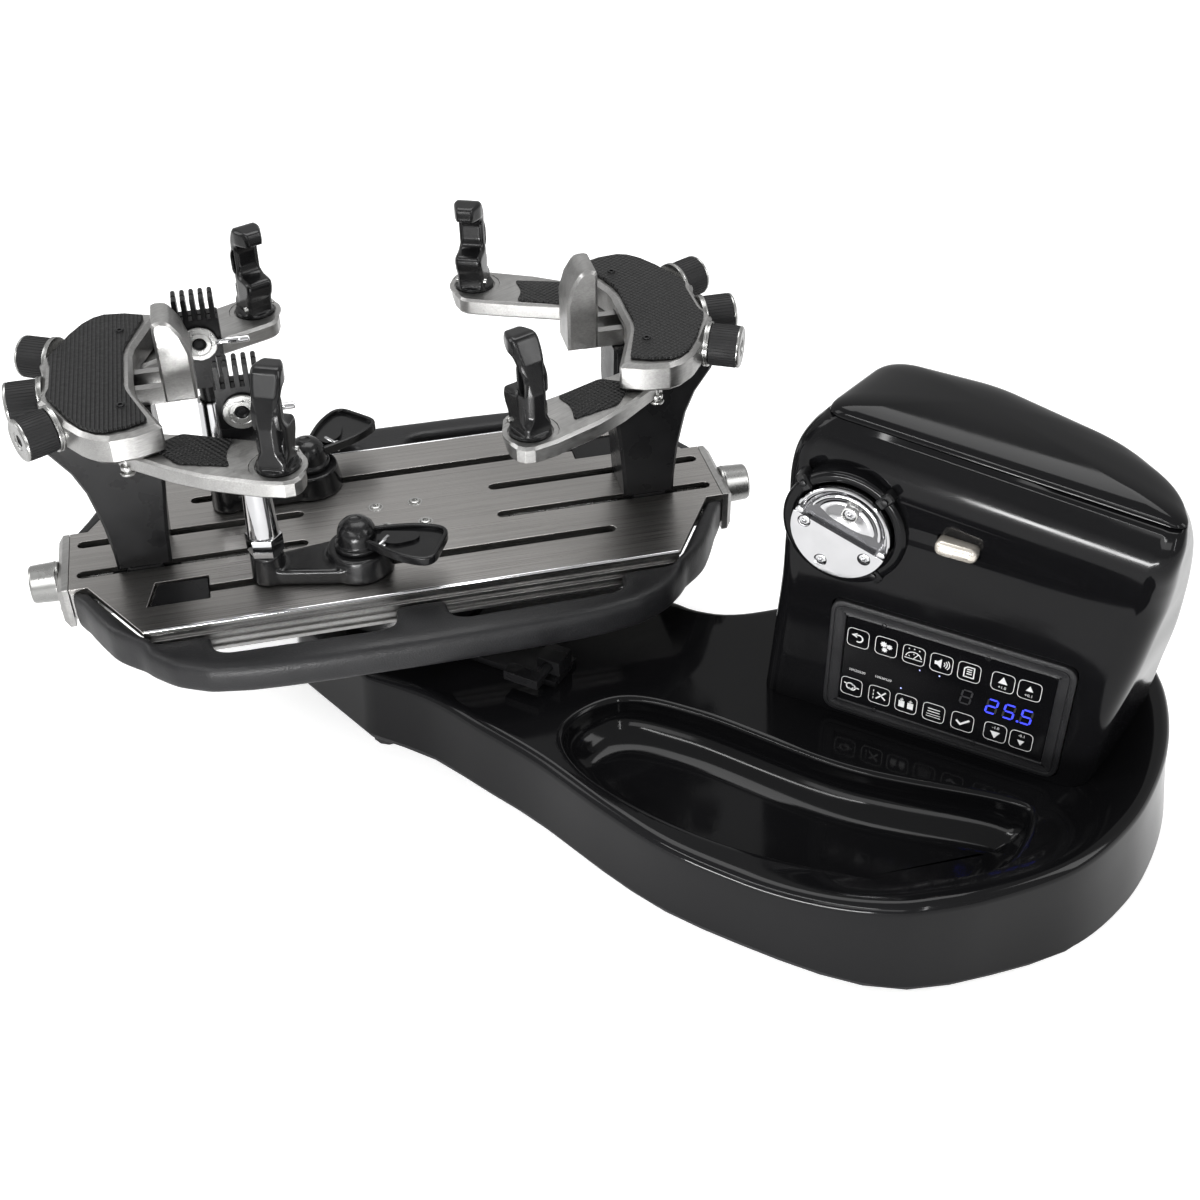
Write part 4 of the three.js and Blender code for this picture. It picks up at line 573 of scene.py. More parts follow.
def show(name, shape, body, slot, finish=None, angle=32):
    """A new piece that takes its finish from a slot and moves with a body."""
    if isinstance(shape, bmesh.types.BMesh):
        bmesh.ops.remove_doubles(shape, verts=shape.verts, dist=1e-6)
        bmesh.ops.recalc_face_normals(shape, faces=shape.faces)
        shape = mesh_of(name, shape)
    piece = placed(name, shape)
    shape.materials.clear()
    shape.materials.append(finish_of(finish or FINISHES[slot]))
    smoothed(shape, angle)
    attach(piece, body)
    return piece


def baked(piece):
    """Turns a piece's modifiers into its mesh."""
    mesh = evaluated_mesh(piece)
    piece.modifiers.clear()
    piece.data = mesh
    return piece


def bevelled(piece, width, angle, segments=2):
    """Rounds a piece's edges that turn by more than an angle."""
    edge = piece.modifiers.new("edges", "BEVEL")
    edge.width = width
    edge.segments = segments
    edge.limit_method = "ANGLE"
    edge.angle_limit = math.radians(angle)
    smoothed(baked(piece).data, angle)


def cut(piece, *shapes):
    """Takes closed shapes away from a piece."""
    for shape in shapes:
        mesh = mesh_of("tool", shape)
        tool = placed("tool", mesh)
        modifier = piece.modifiers.new("cut", "BOOLEAN")
        modifier.object = tool
        modifier.solver = "EXACT"
        baked(piece)
        bpy.data.objects.remove(tool)
        bpy.data.meshes.remove(mesh)


def weighted(piece, angle=32):
    """Lets large faces rule the shading, so that flat stretches stay flat."""
    smoothed(piece.data, angle)
    modifier = piece.modifiers.new("normals", "WEIGHTED_NORMAL")
    modifier.keep_sharp = True
    baked(piece)


def merged(node, flat=None):
    """A node's solid as one merged shape, with its flat stretches as single faces."""
    shape = bmesh.new()
    shape.from_mesh(frame["nodes"][node].data)
    shape.transform(frame["nodes"][node].matrix_world)
    bmesh.ops.remove_doubles(shape, verts=shape.verts, dist=2e-5)
    if flat:
        limit = math.radians(flat)
        bmesh.ops.dissolve_limit(shape, angle_limit=limit, verts=shape.verts, edges=shape.edges)
    return shape


def refined(node, bevel=1.0, angle=32, smooth=40, finish=None):
    """A copy of a node's solid with small rounded edges, that replaces the node."""
    piece = show(node + "_fine", merged(node, 1.0), BODY_OF[node], SLOT_OF[node], finish, angle)
    if bevel:
        bevelled(piece, sizes().edge * bevel, angle)
    piece.data.set_sharp_from_angle(angle=math.radians(smooth))
    weighted(piece, smooth)
    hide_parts(node)


# Repeated fittings


class Fitting(Nodes):
    """A geometry tree that copies a piece onto points and gives the copies a finish."""

    def __init__(self, name, **more):
        super().__init__(bpy.data.node_groups.new(name, "GeometryNodeTree"))
        kinds = {"Seats": "Geometry", "Piece": "Object", "Finish": "Material", **more}
        for label, kind in kinds.items():
            self.tree.interface.new_socket(label, in_out="INPUT", socket_type="NodeSocket" + kind)
        kind = "NodeSocketGeometry"
        self.tree.interface.new_socket("Geometry", in_out="OUTPUT", socket_type=kind)
        self.given = self.add("NodeGroupInput").outputs

    def ended(self, points, **values):
        """Ends the tree in Instance on Points, Realize Instances and Set Material."""
        source = self.add("GeometryNodeObjectInfo", Object=self.given["Piece"]).outputs["Geometry"]
        copies = self.add("GeometryNodeInstanceOnPoints", Points=points, Instance=source, **values)
        real = self.add("GeometryNodeRealizeInstances", Geometry=copies.outputs[0])
        finish = self.given["Finish"]
        paint = self.add("GeometryNodeSetMaterial", Geometry=real.outputs[0], Material=finish)
        self.add("NodeGroupOutput", Geometry=paint.outputs[0])
        return self.tree


def seats_tree():
    """Copies a piece onto loose points, each turned and sized by the point's own values."""
    nodes = Fitting("fittings_on_seats")
    points = nodes.add("GeometryNodeMeshToPoints", Mesh=nodes.given["Seats"])
    turn, size = (
        nodes.add("GeometryNodeInputNamedAttribute", {"data_type": kind}, Name=name)
        for name, kind in (("turn", "FLOAT_VECTOR"), ("size", "FLOAT"))
    )
    own = {"Rotation": turn.outputs["Attribute"], "Scale": size.outputs["Attribute"]}
    return nodes.ended(points.outputs[0], **own)


def ring_tree():
    """Copies a piece evenly round the Z axis."""
    nodes = Fitting("fittings_in_a_ring", Count="Int", Radius="Float")
    count = nodes.given["Count"]
    circle = nodes.add("GeometryNodeMeshCircle", Vertices=count, Radius=nodes.given["Radius"])
    step = nodes.math("DIVIDE", 2 * math.pi, count)
    turn = nodes.math("MULTIPLY", nodes.add("GeometryNodeInputIndex").outputs[0], step)
    rotation = nodes.add("ShaderNodeCombineXYZ", Z=turn)
    return nodes.ended(circle.outputs["Mesh"], Rotation=rotation.outputs[0])


def grown(tree, seats, shape, finish, **inputs):
    """The plain mesh that a tree makes from a shape on its seats."""
    source = placed("fitting", mesh_of("fitting", shape))
    holder = placed("holder", seats)
    modifier = holder.modifiers.new("fittings", "NODES")
    modifier.node_group = tree
    values = {"Piece": source, "Finish": finish_of(finish), **inputs}
    for socket in tree.interface.items_tree:
        if socket.in_out == "INPUT" and socket.name in values:
            modifier[socket.identifier] = values[socket.name]
    result = evaluated_mesh(holder)
    holder.modifiers.clear()
    for item in (holder, source):
        bpy.data.objects.remove(item)
    return result


def seat_points(seats):
    """A mesh of one point for each seat, with its turn and size."""
    points = bpy.data.meshes.new("seats")
    points.from_pydata([tuple(origin) for origin, axis, size in seats], [], [])
    points.attributes.new("turn", "FLOAT_VECTOR", "POINT")
    points.attributes.new("size", "FLOAT", "POINT")
    for i, (origin, axis, size) in enumerate(seats):
        points.attributes["turn"].data[i].vector = axis.to_track_quat("Z", "Y").to_euler()
        points.attributes["size"].data[i].value = size
    return points


def ringed(name, shape, count, radius, place, body, slot):
    """Copies of a shape evenly round an axis."""
    tree = bpy.data.node_groups.get("fittings_in_a_ring") or ring_tree()
    seats = bpy.data.meshes.new("seats")
    mesh = grown(tree, seats, shape, FINISHES[slot], Count=count, Radius=radius)
    for corner in mesh.vertices:
        corner.co = place(*(corner.co / MM))
    return show(name, mesh, body, slot)


def hexagonal(angle):
    """Outline of a hexagon between flats."""
    part = (angle + math.pi / 6) % (math.pi / 3) - math.pi / 6
    return 1 / math.cos(part)


def star(angle):
    """Outline of a six-lobed socket."""
    return 1 + 0.14 * math.cos(6 * angle)


def screw(socket):
    """A screw's head of radius 1 with a socket, seated at Z = 0, in metres."""
    profile = [
        (1.0, -0.2), (1.0, 0.27), (0.93, 0.396), (0.8, 0.45),
        (0.5, 0.45), (0.46, 0.405), (0.46, 0.0675), (0.1, 0.045),
    ]
    lobes = [None] * 4 + [socket] * 3 + [None]
    return lofted(lathe(profile, 36, lobes), lambda x, y, z: Vector((x, y, z)))


def screws_on(seats, socket=hexagonal):
    """Screw heads on seats: triples of origin, axis and radius in metres."""
    tree = bpy.data.node_groups.get("fittings_on_seats") or seats_tree()
    return grown(tree, seat_points(seats), screw(socket), "polished_chrome")


# Base

BASE_REACH, BASE_DEPTH = 623, 174
BASE_FOOT, BASE_TOP, BASE_ROUND = 18.3, 78, 8
RIM_RISE, RIM_WIDTH, RIM_SPREAD = 18, 17, 34
# Outline of the base from its left front corner, as shares of the reach and the depth
BASE_FRONT = [
    (0.059, -0.672), (0.15, -0.667), (0.236, -0.73), (0.327, -0.8), (0.433, -0.92), (0.526, -1),
    (0.626, -1.02), (0.722, -1.012), (0.786, -0.968), (0.827, -0.893), (0.878, -0.741),
    (0.947, -0.443), (0.982, -0.12), (0.993, 0.18), (0.988, 0.48), (0.966, 0.76), (0.932, 0.97),
]
BASE_REAR = [
    (0.932, 0.97), (0.83, 1.1), (0.64, 1.08), (0.53, 0.85), (0.43, 0.54), (0.376, 0.466),
    (0.331, 0.471), (0.16, 0.46), (-0.02, 0.45), (-0.11, 0.3), (-0.135, 0), (-0.12, -0.35),
]
BASE_LEFT = (-0.085, -0.494)
TRAY = [
    (0.331, -0.563), (0.366, -0.293), (0.465, -0.218), (0.661, -0.241), (0.841, -0.121),
    (0.875, -0.184), (0.864, -0.5), (0.8, -0.7), (0.717, -0.79), (0.599, -0.86), (0.483, -0.845),
    (0.38, -0.75),
]
TRAY_FLOOR = 44


def smoothstep(value, start, end):
    part = min(max((value - start) / (end - start), 0.0), 1.0)
    return part * part * (3 - 2 * part)


def base_points(shares):
    return [Vector((along * BASE_REACH, across * BASE_DEPTH)) for along, across in shares]


def base_loop(count=240, inset=0.5):
    outline = curved(base_points(BASE_FRONT), 12)[:-1] + curved(base_points(BASE_REAR), 12)
    outline += base_points([BASE_LEFT])
    ring = stepped(spaced(outline, count), [(inset, 0)])[0]
    return [Vector(point[:2]) for point in ring]


def rim_share(point):
    """How far the rim has climbed where it borders the tower."""
    return smoothstep(point.x / BASE_REACH, 0.62, 0.86)


def wall_foot(point):
    return -4 - 6 * smoothstep(point.x / BASE_REACH, 0.86, 1)


def rim_top(point):
    return BASE_TOP + RIM_RISE * rim_share(point)


def base_steps():
    """The wall, its rounded top edge and the slope inside the rim."""
    steps = []
    for i in range(5):
        part = i / 4
        steps.append((
            lambda point, part=part: wall_foot(point) * (1 - part) ** 1.3,
            lambda point, part=part: BASE_FOOT + (rim_top(point) - BASE_ROUND - BASE_FOOT) * part,
        ))
    for i in range(1, 7):
        angle = math.radians(15 * i)
        steps.append((
            BASE_ROUND * (1 - math.cos(angle)),
            lambda point, angle=angle: rim_top(point) - BASE_ROUND * (1 - math.sin(angle)),
        ))
    for i in range(1, 9):
        part = i / 8
        steps.append((
            lambda point, part=part: BASE_ROUND
            + part * (RIM_WIDTH + RIM_SPREAD * rim_share(point)),
            lambda point, part=part: BASE_TOP
            + RIM_RISE * rim_share(point) * (1 - smoothstep(part, 0, 1)),
        ))
    return steps


def tray_hollow():
    """The tray's hollow: a crisp rim, then walls that sweep down into a dished floor."""
    outer = spaced(curved(base_points(TRAY), 12, True), 160)
    inner = [Vector(point[:2]) for point in stepped(outer, [(26, 0)], 12)[0]]
    for _ in range(10):
        inner = [(a + b * 2 + c) / 4 for a, b, c in neighbours(inner)]
    rings = []
    for i in range(13):
        angle = math.radians(7 * i)
        share, level = 1 - math.sin(angle), TRAY_FLOOR + 27 * (1 - math.cos(angle))
        rings.append([(*out.lerp(within, share), level) for out, within in zip(outer, inner)])
    rim = [(0, 29), (-0.5, 31), (-1.8, 32.8), (-3.6, 33.7), (-5.6, 34), (-6, 35), (-12, 54)]
    rings += stepped(outer, [(inset, TRAY_FLOOR + rise) for inset, rise in rim], 3)
    return lofted(rings, machine)


class STRINGER_OT_base(bpy.types.Operator):
    """Moulds the polished base cover with its rim and tool tray"""

    bl_idname = "stringer.base"
    bl_label = "Base cover"

    def execute(self, context):
        skin = lofted(stepped(base_loop(), base_steps(), 6), machine)
        cover = show("base_shell", skin, "base", "cover")
        foot = tower_ring(0, BASE_TOP - 4, -0.3)
        well = lofted([[(x, y, z + rise) for x, y, z in foot] for rise in (4.3, 60)], machine)
        cut(cover, tray_hollow(), well)
        weighted(cover, 40)
        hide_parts("base_cover")
        return {"FINISHED"}


# Tower

TOWER_LEFT, TOWER_WIDTH, TOWER_FRONT, TOWER_DEPTH = 318, 252, 11, 128
TOWER_SEAM, TOWER_ROUND = 244, 18
DRUM_X, DRUM_Z, DRUM_RADIUS = 373, 247, 36.5
PANEL_LEFT, PANEL_RIGHT, PANEL_LOW, PANEL_HIGH = 371, 551, 83, 187
# Height share, then the tower's six corners as shares of its width and depth
TOWER = [
    (0, (0, 0), (1.008, 0), (1.085, 0.95), (1, 1.08), (0.6, 1.1), (0.05, 0.93)),
    (0.25, (0.015, 0), (1.03, 0), (1.105, 0.82), (1, 1), (0.6, 1.03), (0.07, 0.93)),
    (0.45, (0.026, 0), (1.06, 0), (1.125, 0.68), (1, 0.92), (0.6, 0.98), (0.09, 0.92)),
    (0.6, (0.02, 0.03), (1.08, -0.01), (1.13, 0.57), (0.99, 0.84), (0.59, 0.95), (0.1, 0.91)),
    (0.7, (0.015, 0.07), (1.095, -0.03), (1.13, 0.49), (0.98, 0.78), (0.58, 0.92), (0.1, 0.9)),
    (0.8, (0.006, 0.11), (1.105, -0.1), (1.125, 0.41), (0.96, 0.7), (0.56, 0.88), (0.11, 0.88)),
    (0.88, (0.015, 0.14), (1.11, -0.16), (1.115, 0.34), (0.94, 0.62), (0.54, 0.85), (0.12, 0.86)),
    (0.95, (0.05, 0.16), (1.12, -0.14), (1.09, 0.29), (0.92, 0.56), (0.52, 0.82), (0.14, 0.84)),
    (1, (0.095, 0.172), (1.12, -0.08), (1.056, 0.25), (0.9, 0.51), (0.5, 0.79), (0.165, 0.81)),
]


def tower_corners(share):
    """The corners at a height share, on smooth curves through the table's levels."""
    levels = [row[0] for row in TOWER]
    k = max(i for i in range(len(levels) - 1) if levels[i] <= share)
    span = levels[k + 1] - levels[k]
    t = (share - levels[k]) / span
    corners = []
    for i in range(1, 7):
        values = [Vector(row[i]) for row in TOWER]

        def slope(j):
            a, b = max(j - 1, 0), min(j + 1, len(levels) - 1)
            return (values[b] - values[a]) / (levels[b] - levels[a]) * span

        rise = values[k + 1] - values[k]
        bend = 3 * rise - 2 * slope(k) - slope(k + 1)
        twist = slope(k) + slope(k + 1) - 2 * rise
        corners.append(values[k] + slope(k) * t + bend * t**2 + twist * t**3)
    return corners


def inset_corners(corners, inset):
    result = []
    for before, here, after in neighbours(corners):
        enter = (here - before).normalized()
        leave = (after - here).normalized()
        reach = inset / (1 + enter.dot(leave))
        result.append(here + Vector((-enter.y - leave.y, enter.x + leave.x)) * reach)
    return result


def tower_ring(share, height, inset=0.0, facets=12):
    corners = [
        Vector((TOWER_LEFT + x * TOWER_WIDTH, TOWER_FRONT + y * TOWER_DEPTH))
        for x, y in tower_corners(share)
    ]
    loop = rounded([(*corner, TOWER_ROUND) for corner in inset_corners(corners, inset)], facets)
    return [(point.x, point.y, height) for point in loop]


class STRINGER_OT_tower(bpy.types.Operator):
    """Moulds the tower with the recesses in its front, and its lid"""

    bl_idname = "stringer.tower"
    bl_label = "Tower"

    def execute(self, context):
        rings = []
        for i in range(49):
            share = i / 48
            rings.append(tower_ring(share, BASE_TOP + 0.3 + share * (TOWER_SEAM - 0.3), 0.3))
        tower = show("tower_shell", lofted(rings, machine), "base", "cover")
        drum = [(DRUM_RADIUS + 0.6, -18.3), (DRUM_RADIUS + 0.6, 6)]
        shaft = [(12.6, -60), (12.6, 6)]
        recess = rectangle(
            PANEL_LEFT - 0.5, PANEL_LOW - 0.5, PANEL_RIGHT + 0.5, PANEL_HIGH + 0.5, 9
        )
        button = rectangle(439.3, 250.3, 470.7, 263.7, 4)
        cut(
            tower,
            lofted(lathe(drum, 96), facing(DRUM_X, DRUM_Z)),
            lofted(lathe(shaft, 48), facing(DRUM_X, DRUM_Z)),
            plate(recess, -17.8, 8, facing(0, 0)),
            plate(button, -24, 8, facing(0, 0)),
        )
        weighted(tower, 60)
        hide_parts("tower_housing")
        low = BASE_TOP + TOWER_SEAM + 0.6
        crown = [
            (0, 0.5), (0.004, 1.8), (0.014, 3.2), (0.035, 4.8), (0.07, 6.4), (0.12, 7.9),
            (0.18, 9.1), (0.26, 10.2), (0.36, 11.2), (0.48, 12), (0.62, 12.5), (0.8, 12.75),
            (0.96, 12.8),
        ]
        outer = [Vector(point[:2]) for point in tower_ring(1, 0, 0.3)]
        ridge = Vector((TOWER_LEFT + 0.5 * TOWER_WIDTH, TOWER_FRONT + 0.5 * TOWER_DEPTH))
        roof = [tower_ring(1, low, 1.1), tower_ring(1, low + 0.15, 0.4)]
        roof += [
            [(*point.lerp(ridge, share), low + rise) for point in outer] for share, rise in crown
        ]
        lid = lofted(roof, machine)
        lid = show("tower_cap", lid, "base", "cover")
        weighted(lid, 60)
        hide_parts("tower_lid")
        return {"FINISHED"}


# Tension head

DRUM_FRONT, DRUM_LEAN = 3, math.radians(18)
# Screws in the drum's half plate and black lugs round it, in the drum's own axes and the machine's
PLATE_SCREWS = [(-26.1, -4.2), (-3.3, -27.5), (23.5, -7.5)]
LUGS = [(341.9, 278.1, 35), (401.4, 279.9, -40), (399.1, 216.2, -130)]


def drum_place(x, y, z):
    """The tension drum's own axes: x along its slot, y up from it, z towards the user."""
    right = x * math.cos(DRUM_LEAN) + y * math.sin(DRUM_LEAN)
    rise = y * math.cos(DRUM_LEAN) - x * math.sin(DRUM_LEAN)
    return machine(DRUM_X + right, DRUM_FRONT - z, DRUM_Z + rise)


def rod(radius, low, high, edge=0.5, sides=32):
    """Rings of a rod with rounded ends."""
    return lathe([
        (radius - edge, low), (radius - edge * 0.3, low + edge * 0.3), (radius, low + edge),
        (radius, high - edge), (radius - edge * 0.3, high - edge * 0.3), (radius - edge, high),
    ], sides)


class STRINGER_OT_tension_head(bpy.types.Operator):
    """Turns the chrome drum with its half plate, jaw, screws and black collar"""

    bl_idname = "stringer.tension_head"
    bl_label = "Tension head"

    def execute(self, context):
        at_front = facing(DRUM_X, DRUM_Z)
        ring = [
            (46, -34), (46, -13.6), (45.4, -12.4), (44, -11.4), (42.6, -11), (39.4, -11),
            (38.2, -11.5), (37.4, -12.6), (37.1, -14), (37.1, -34), (46, -34),
        ]
        collar = show("drum_collar", lofted(lathe(ring, 120), at_front, False), "base", "cover")
        weighted(collar)
        lugs = []
        for x, z, angle in LUGS:
            turn = Matrix.Rotation(math.radians(angle), 2)
            lug = rounded([(-4, -7, 2), (4, -7, 2), (4, 7, 3), (-4, 7, 3)])
            loop = [turn @ corner for corner in lug]
            lugs.append(plate(loop, -22, -9, facing(x, z), 1.2))
            lugs.append(lofted(rod(2.6, -12, -7.4), facing(x, z)))
        show("drum_lugs", joined(lugs), "base", "black")

        spool = [
            (12.3, -24), (12.3, -15), (35.7, -15), (36.5, -14.4), (36.5, -12.6), (36, -12),
            (33.4, -11.4), (31.5, -9.4), (31.5, -6.2), (35.6, -5), (36.5, -4.4), (36.5, -0.9),
            (36.1, -0.25), (35.3, 0),
        ]
        drum = show("tension_drum", lofted(lathe(spool, 120), drum_place), "tension_drum", "chrome")
        cut(drum, plate(rectangle(-50, 0, 50, 50), -12, 3, drum_place))
        bevelled(drum, 0.0004, 40)
        weighted(drum, 40)
        for x, y in PLATE_SCREWS:
            cut(drum, lofted(lathe([(4.9, -2.4), (4.9, 1)], 40), shifted(drum_place, x, y)))
        weighted(drum, 40)
        trim = [
            lofted(rod(3.2, -13, -0.3, 0.8), shifted(drum_place, x, 1.6)) for x in (-32.5, 32.5)
        ]
        profile = [
            (31.2, -12.3), (31.2, -6.4), (31.6, -5.8), (32.4, -5.6), (33, -5.9), (33.3, -7.4),
            (33.8, -7.4), (34.1, -3.4), (34.6, -2.7), (35.6, -2.6), (36.3, -3.2), (36.4, -12.3),
        ]
        angles = [math.radians(8 + 164 * i / 60) for i in range(61)]
        bowl = lofted([
            [(radius * math.cos(angle), radius * math.sin(angle), z) for radius, z in profile]
            for angle in angles
        ], drum_place)
        show("drum_trim", joined([*trim, bowl]), "tension_drum", "chrome")
        outwards = heading(drum_place, 0, 0, 1)
        seats = [(drum_place(x, y, -2.3), outwards, 0.0042) for x, y in PLATE_SCREWS]
        show("drum_plate_screws", screws_on(seats, star), "tension_drum", "chrome")
        # Black rings at the floor of the screws' counterbores: painted shade round the screw heads
        well = [(4.9, -2.4), (4.9, -2.1), (4.3, -2.1), (4.3, -2.4), (4.9, -2.4)]
        show("drum_counterbores", joined([
            lofted(lathe(well, 40), shifted(drum_place, x, y), False) for x, y in PLATE_SCREWS
        ]), "tension_drum", "black")
        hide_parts("gripper_drum")

        dome = [
            (28.8, -11.7), (28.8, -8.4), (28.5, -7.4), (27.8, -6.7), (26.8, -6.5), (25.4, -7.1),
            (23.6, -7.9), (21.4, -8.1), (19.2, -7.4), (17, -6.2), (14.4, -5), (11, -4.2), (7, -3.9),
            (0.3, -3.8),
        ]
        jaw = show("string_jaw", lofted(lathe(dome, 120), drum_place), "string_jaw", "chrome")
        cut(jaw, plate(rectangle(-40, -40, 40, 7), -16, 4, drum_place))
        cut(jaw, lofted(lathe([(6.2, -7.6), (6.2, -1)], 48), shifted(drum_place, 0, 16.4)))
        bevelled(jaw, 0.0005, 40)
        weighted(jaw, 35)
        boss = [(6.1, -9), (6.1, -4.4), (5.7, -4), (5.1, -4), (4.8, -4.4), (4.8, -9), (6.1, -9)]
        boss = lofted(lathe(boss, 48), shifted(drum_place, 0, 16.4), False)
        show("jaw_boss", boss, "string_jaw", "chrome", "satin_steel")
        jaw_screw = screws_on([(drum_place(0, 16.4, -7.5), outwards, 0.0046)], star)
        show("jaw_screw", jaw_screw, "string_jaw", "chrome")
        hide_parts("gripper_jaw")

        middle, front = middle_of("tension_button"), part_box("tension_button")[0][1]
        place = lambda x, y, z: Vector((middle.x + x * MM, front - z * MM, middle.z + y * MM))
        pill = rectangle(-15, -6, 15, 6, 6, 14)
        dome = [
            (1, -15.9), (0.2, -15.5), (0, -15), (0, -4.4), (0.2, -3.3), (0.8, -2.2), (1.7, -1.2),
            (2.9, -0.5), (4.2, -0.1), (5.2, 0),
        ]
        pill = lofted(stepped(pill, dome), place)
        button = show("button_pill", pill, "tension_button", "button", None, 50)
        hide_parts("tension_button")
        return {"FINISHED"}


# Control panel

PANEL_MARK = -9.82
# Frames of the keys: middle x and z of each, upper row and lower row
UPPER_KEYS = [(x, 156.3) for x in (393.5, 415, 436, 456.7, 477.2, 501.8, 521)]
LOWER_KEYS = [(x, 109) for x in (392.5, 414.4, 435.2, 456.5, 478.3, 502.8, 521.9)]
HALF_KEY = 8.2


def arc(x, y, radius, start, end, points=14):
    angles = [math.radians(start + (end - start) * i / points) for i in range(points + 1)]
    return [(x + radius * math.cos(angle), y + radius * math.sin(angle)) for angle in angles]


def cog(x, y, radius, teeth=8):
    points = []
    for i in range(teeth * 4):
        reach = radius if i % 4 < 2 else radius * 0.74
        angle = 2 * math.pi * (i - 0.5) / (teeth * 4)
        points.append((x + reach * math.cos(angle), y + reach * math.sin(angle)))
    return points


# Marks of each key: strokes as (width, points) and filled shapes as (0, points)
UPPER_MARKS = [
    [(1.1, arc(0.4, -0.2, 3.1, -115, 140)), (0, [(-5.2, 2.2), (-0.9, 4.6), (-1.0, 0.2)])],
    [(0, cog(-1.9, 1.6, 2.6)), (0, cog(2.5, 0.4, 2.3)), (0, cog(-0.9, -3.1, 2.2))],
    [(0.7, arc(0, -3.2, 6.0, 12, 168)), (0.6, [(0, -3.2), (3.4, 1.6)]),
     (0.6, [(-6.6, -3.6), (6.6, -3.6)]), (0.5, [(-3.9, -0.9), (-2.9, -1.6)]),
     (0.5, [(0, 1.6), (0, 0.4)]), (0.9, [(-4.4, 5.2), (-3.4, 5.2)]),
     (0.9, [(-0.5, 5.6), (0.5, 5.6)]), (0.9, [(3.4, 5.2), (4.4, 5.2)])],
    [(0, [(-5, -1.5), (-3, -1.5), (0, -4.2), (0, 4.2), (-3, 1.5), (-5, 1.5)]),
     (0.7, arc(0.2, 0, 2.4, -45, 45)), (0.7, arc(0.2, 0, 4.1, -45, 45)),
     (0.7, arc(0.2, 0, 5.8, -42, 42))],
    [(0.9, [(-3.6, -4.6), (3.6, -4.6), (3.6, 4.6), (-1.6, 4.6), (-3.6, 2.6), (-3.6, -4.6)]),
     *((0.8, [(-1.8, y), (2, y)]) for y in (2.4, 0.4, -1.6))],
    [(0, [(-3.4, -1.2), (3.4, -1.2), (0, 5)])],
    [(0, [(-2.6, -0.6), (2.6, -0.6), (0, 4.2)])],
]
LOWER_MARKS = [
    [(1.0, arc(-1.2, 0.4, 2.8, 20, 340)), (1.0, arc(0.6, -0.4, 2.6, -160, 100)),
     (1.0, [(2, 0.2), (6, -0.2)]),
     (0.9, [(-6, 2.6), (-3.4, 1.6)])],
    [*((0.6, [(-4.6, y), (-4.6, y + 2)]) for y in (-4.6, -1.2, 2.2)),
     (1.2, [(-2.4, -3.8), (4.8, 4)]), (1.2, [(-1.6, 2.6), (1.4, 0.4)]),
     (1.2, [(1.2, 0.2), (4.8, -3.2)])],
    [(0, rectangle(-5.6, -4, -1.2, 1.8)), (0, rectangle(1.2, -4, 5.6, 1.8)),
     (0.8, [(-4.6, 3), (-2.2, 3)]), (0.8, [(2.2, 3), (4.6, 3)]), (0.6, [(-3.4, 4.4), (-3.4, 1)]),
     (0.6, [(3.4, 4.4), (3.4, 1)])],
    [*((0.5, [(-5.4, y), (5.4, y)]) for y in (-2, -4.2)),
     *((0.7, [(-4.6, y), (4.6, y)]) for y in (3.2, 0.6))],
    [(1.6, [(-4.6, 0.4), (-1.4, -2.6), (5, 3)])],
    [(0, [(-3.6, 0.6), (0, -5.6), (3.6, 0.6)])],
    [(0, [(-2.6, 0), (0, -4.8), (2.6, 0)])],
]
CAPTIONS = [
    ("+1.0", 501.8, 151.6, 3.4), ("+0.1", 521, 151.6, 3.4),
    ("-1.0", 502.8, 113.2, 3.4), ("-0.1", 521.9, 113.2, 3.4),
    ("10%20%30", 395.6, 125.4, 3), ("10%20%30", 415.8, 126.2, 3),
]
STATUS_LAMPS = [(441.8, 144.4), (456.7, 144.6), (429.9, 122.5)]
SLANT = 0.12
SEGMENTS = {"2": "abged", "5": "afgcd", "8": "abcdefg"}


def ribbon(points, width, place, low, high):
    """A thin closed stroke along points."""
    points = [Vector(point) for point in points]
    closed = (points[0] - points[-1]).length < 1e-6
    near, far = [], []
    last = len(points) - 1
    for i, here in enumerate(points):
        before = points[i - 1] if i else (points[-2] if closed else here - (points[1] - here))
        after = points[i + 1] if i < last else (points[1] if closed else here + (here - points[-2]))
        enter, leave = (here - before).normalized(), (after - here).normalized()
        across = Vector((-enter.y - leave.y, enter.x + leave.x)) / max(1 + enter.dot(leave), 0.4)
        near.append(here - across * width / 2)
        far.append(here + across * width / 2)
    if not closed:
        return plate(near + far[::-1], low, high, place)
    sides = ((near, low), (near, high), (far, high), (far, low), (near, low))
    return lofted([[(*point, z) for point in side[:-1]] for side, z in sides], place, False)


def segments_of(digit, x, z, height, place, low, high):
    """The lit bars of a slanted seven-bar digit."""
    half, width = height / 2, height * 0.28
    corners = {
        "a": ((-width, half), (width, half)), "g": ((-width, 0), (width, 0)),
        "d": ((-width, -half), (width, -half)),
        "f": ((-width, half), (-width, 0)), "b": ((width, half), (width, 0)),
        "e": ((-width, 0), (-width, -half)), "c": ((width, 0), (width, -half)),
    }
    bars = []
    for bar in SEGMENTS[digit]:
        start, end = (Vector(corner) for corner in corners[bar])
        along = (end - start).normalized()
        across = Vector((-along.y, along.x)) * height * 0.055
        start, end = start + along * height * 0.08, end - along * height * 0.08
        tip = along * height * 0.055
        near, far = (start - across, end - across), (end + across, start + across)
        outline = [*near, end + tip, *far, start - tip]
        slanted = [Vector((x + p.x + p.y * SLANT, z + p.y)) for p in outline]
        bars.append(plate(slanted, low, high, place))
    return bars


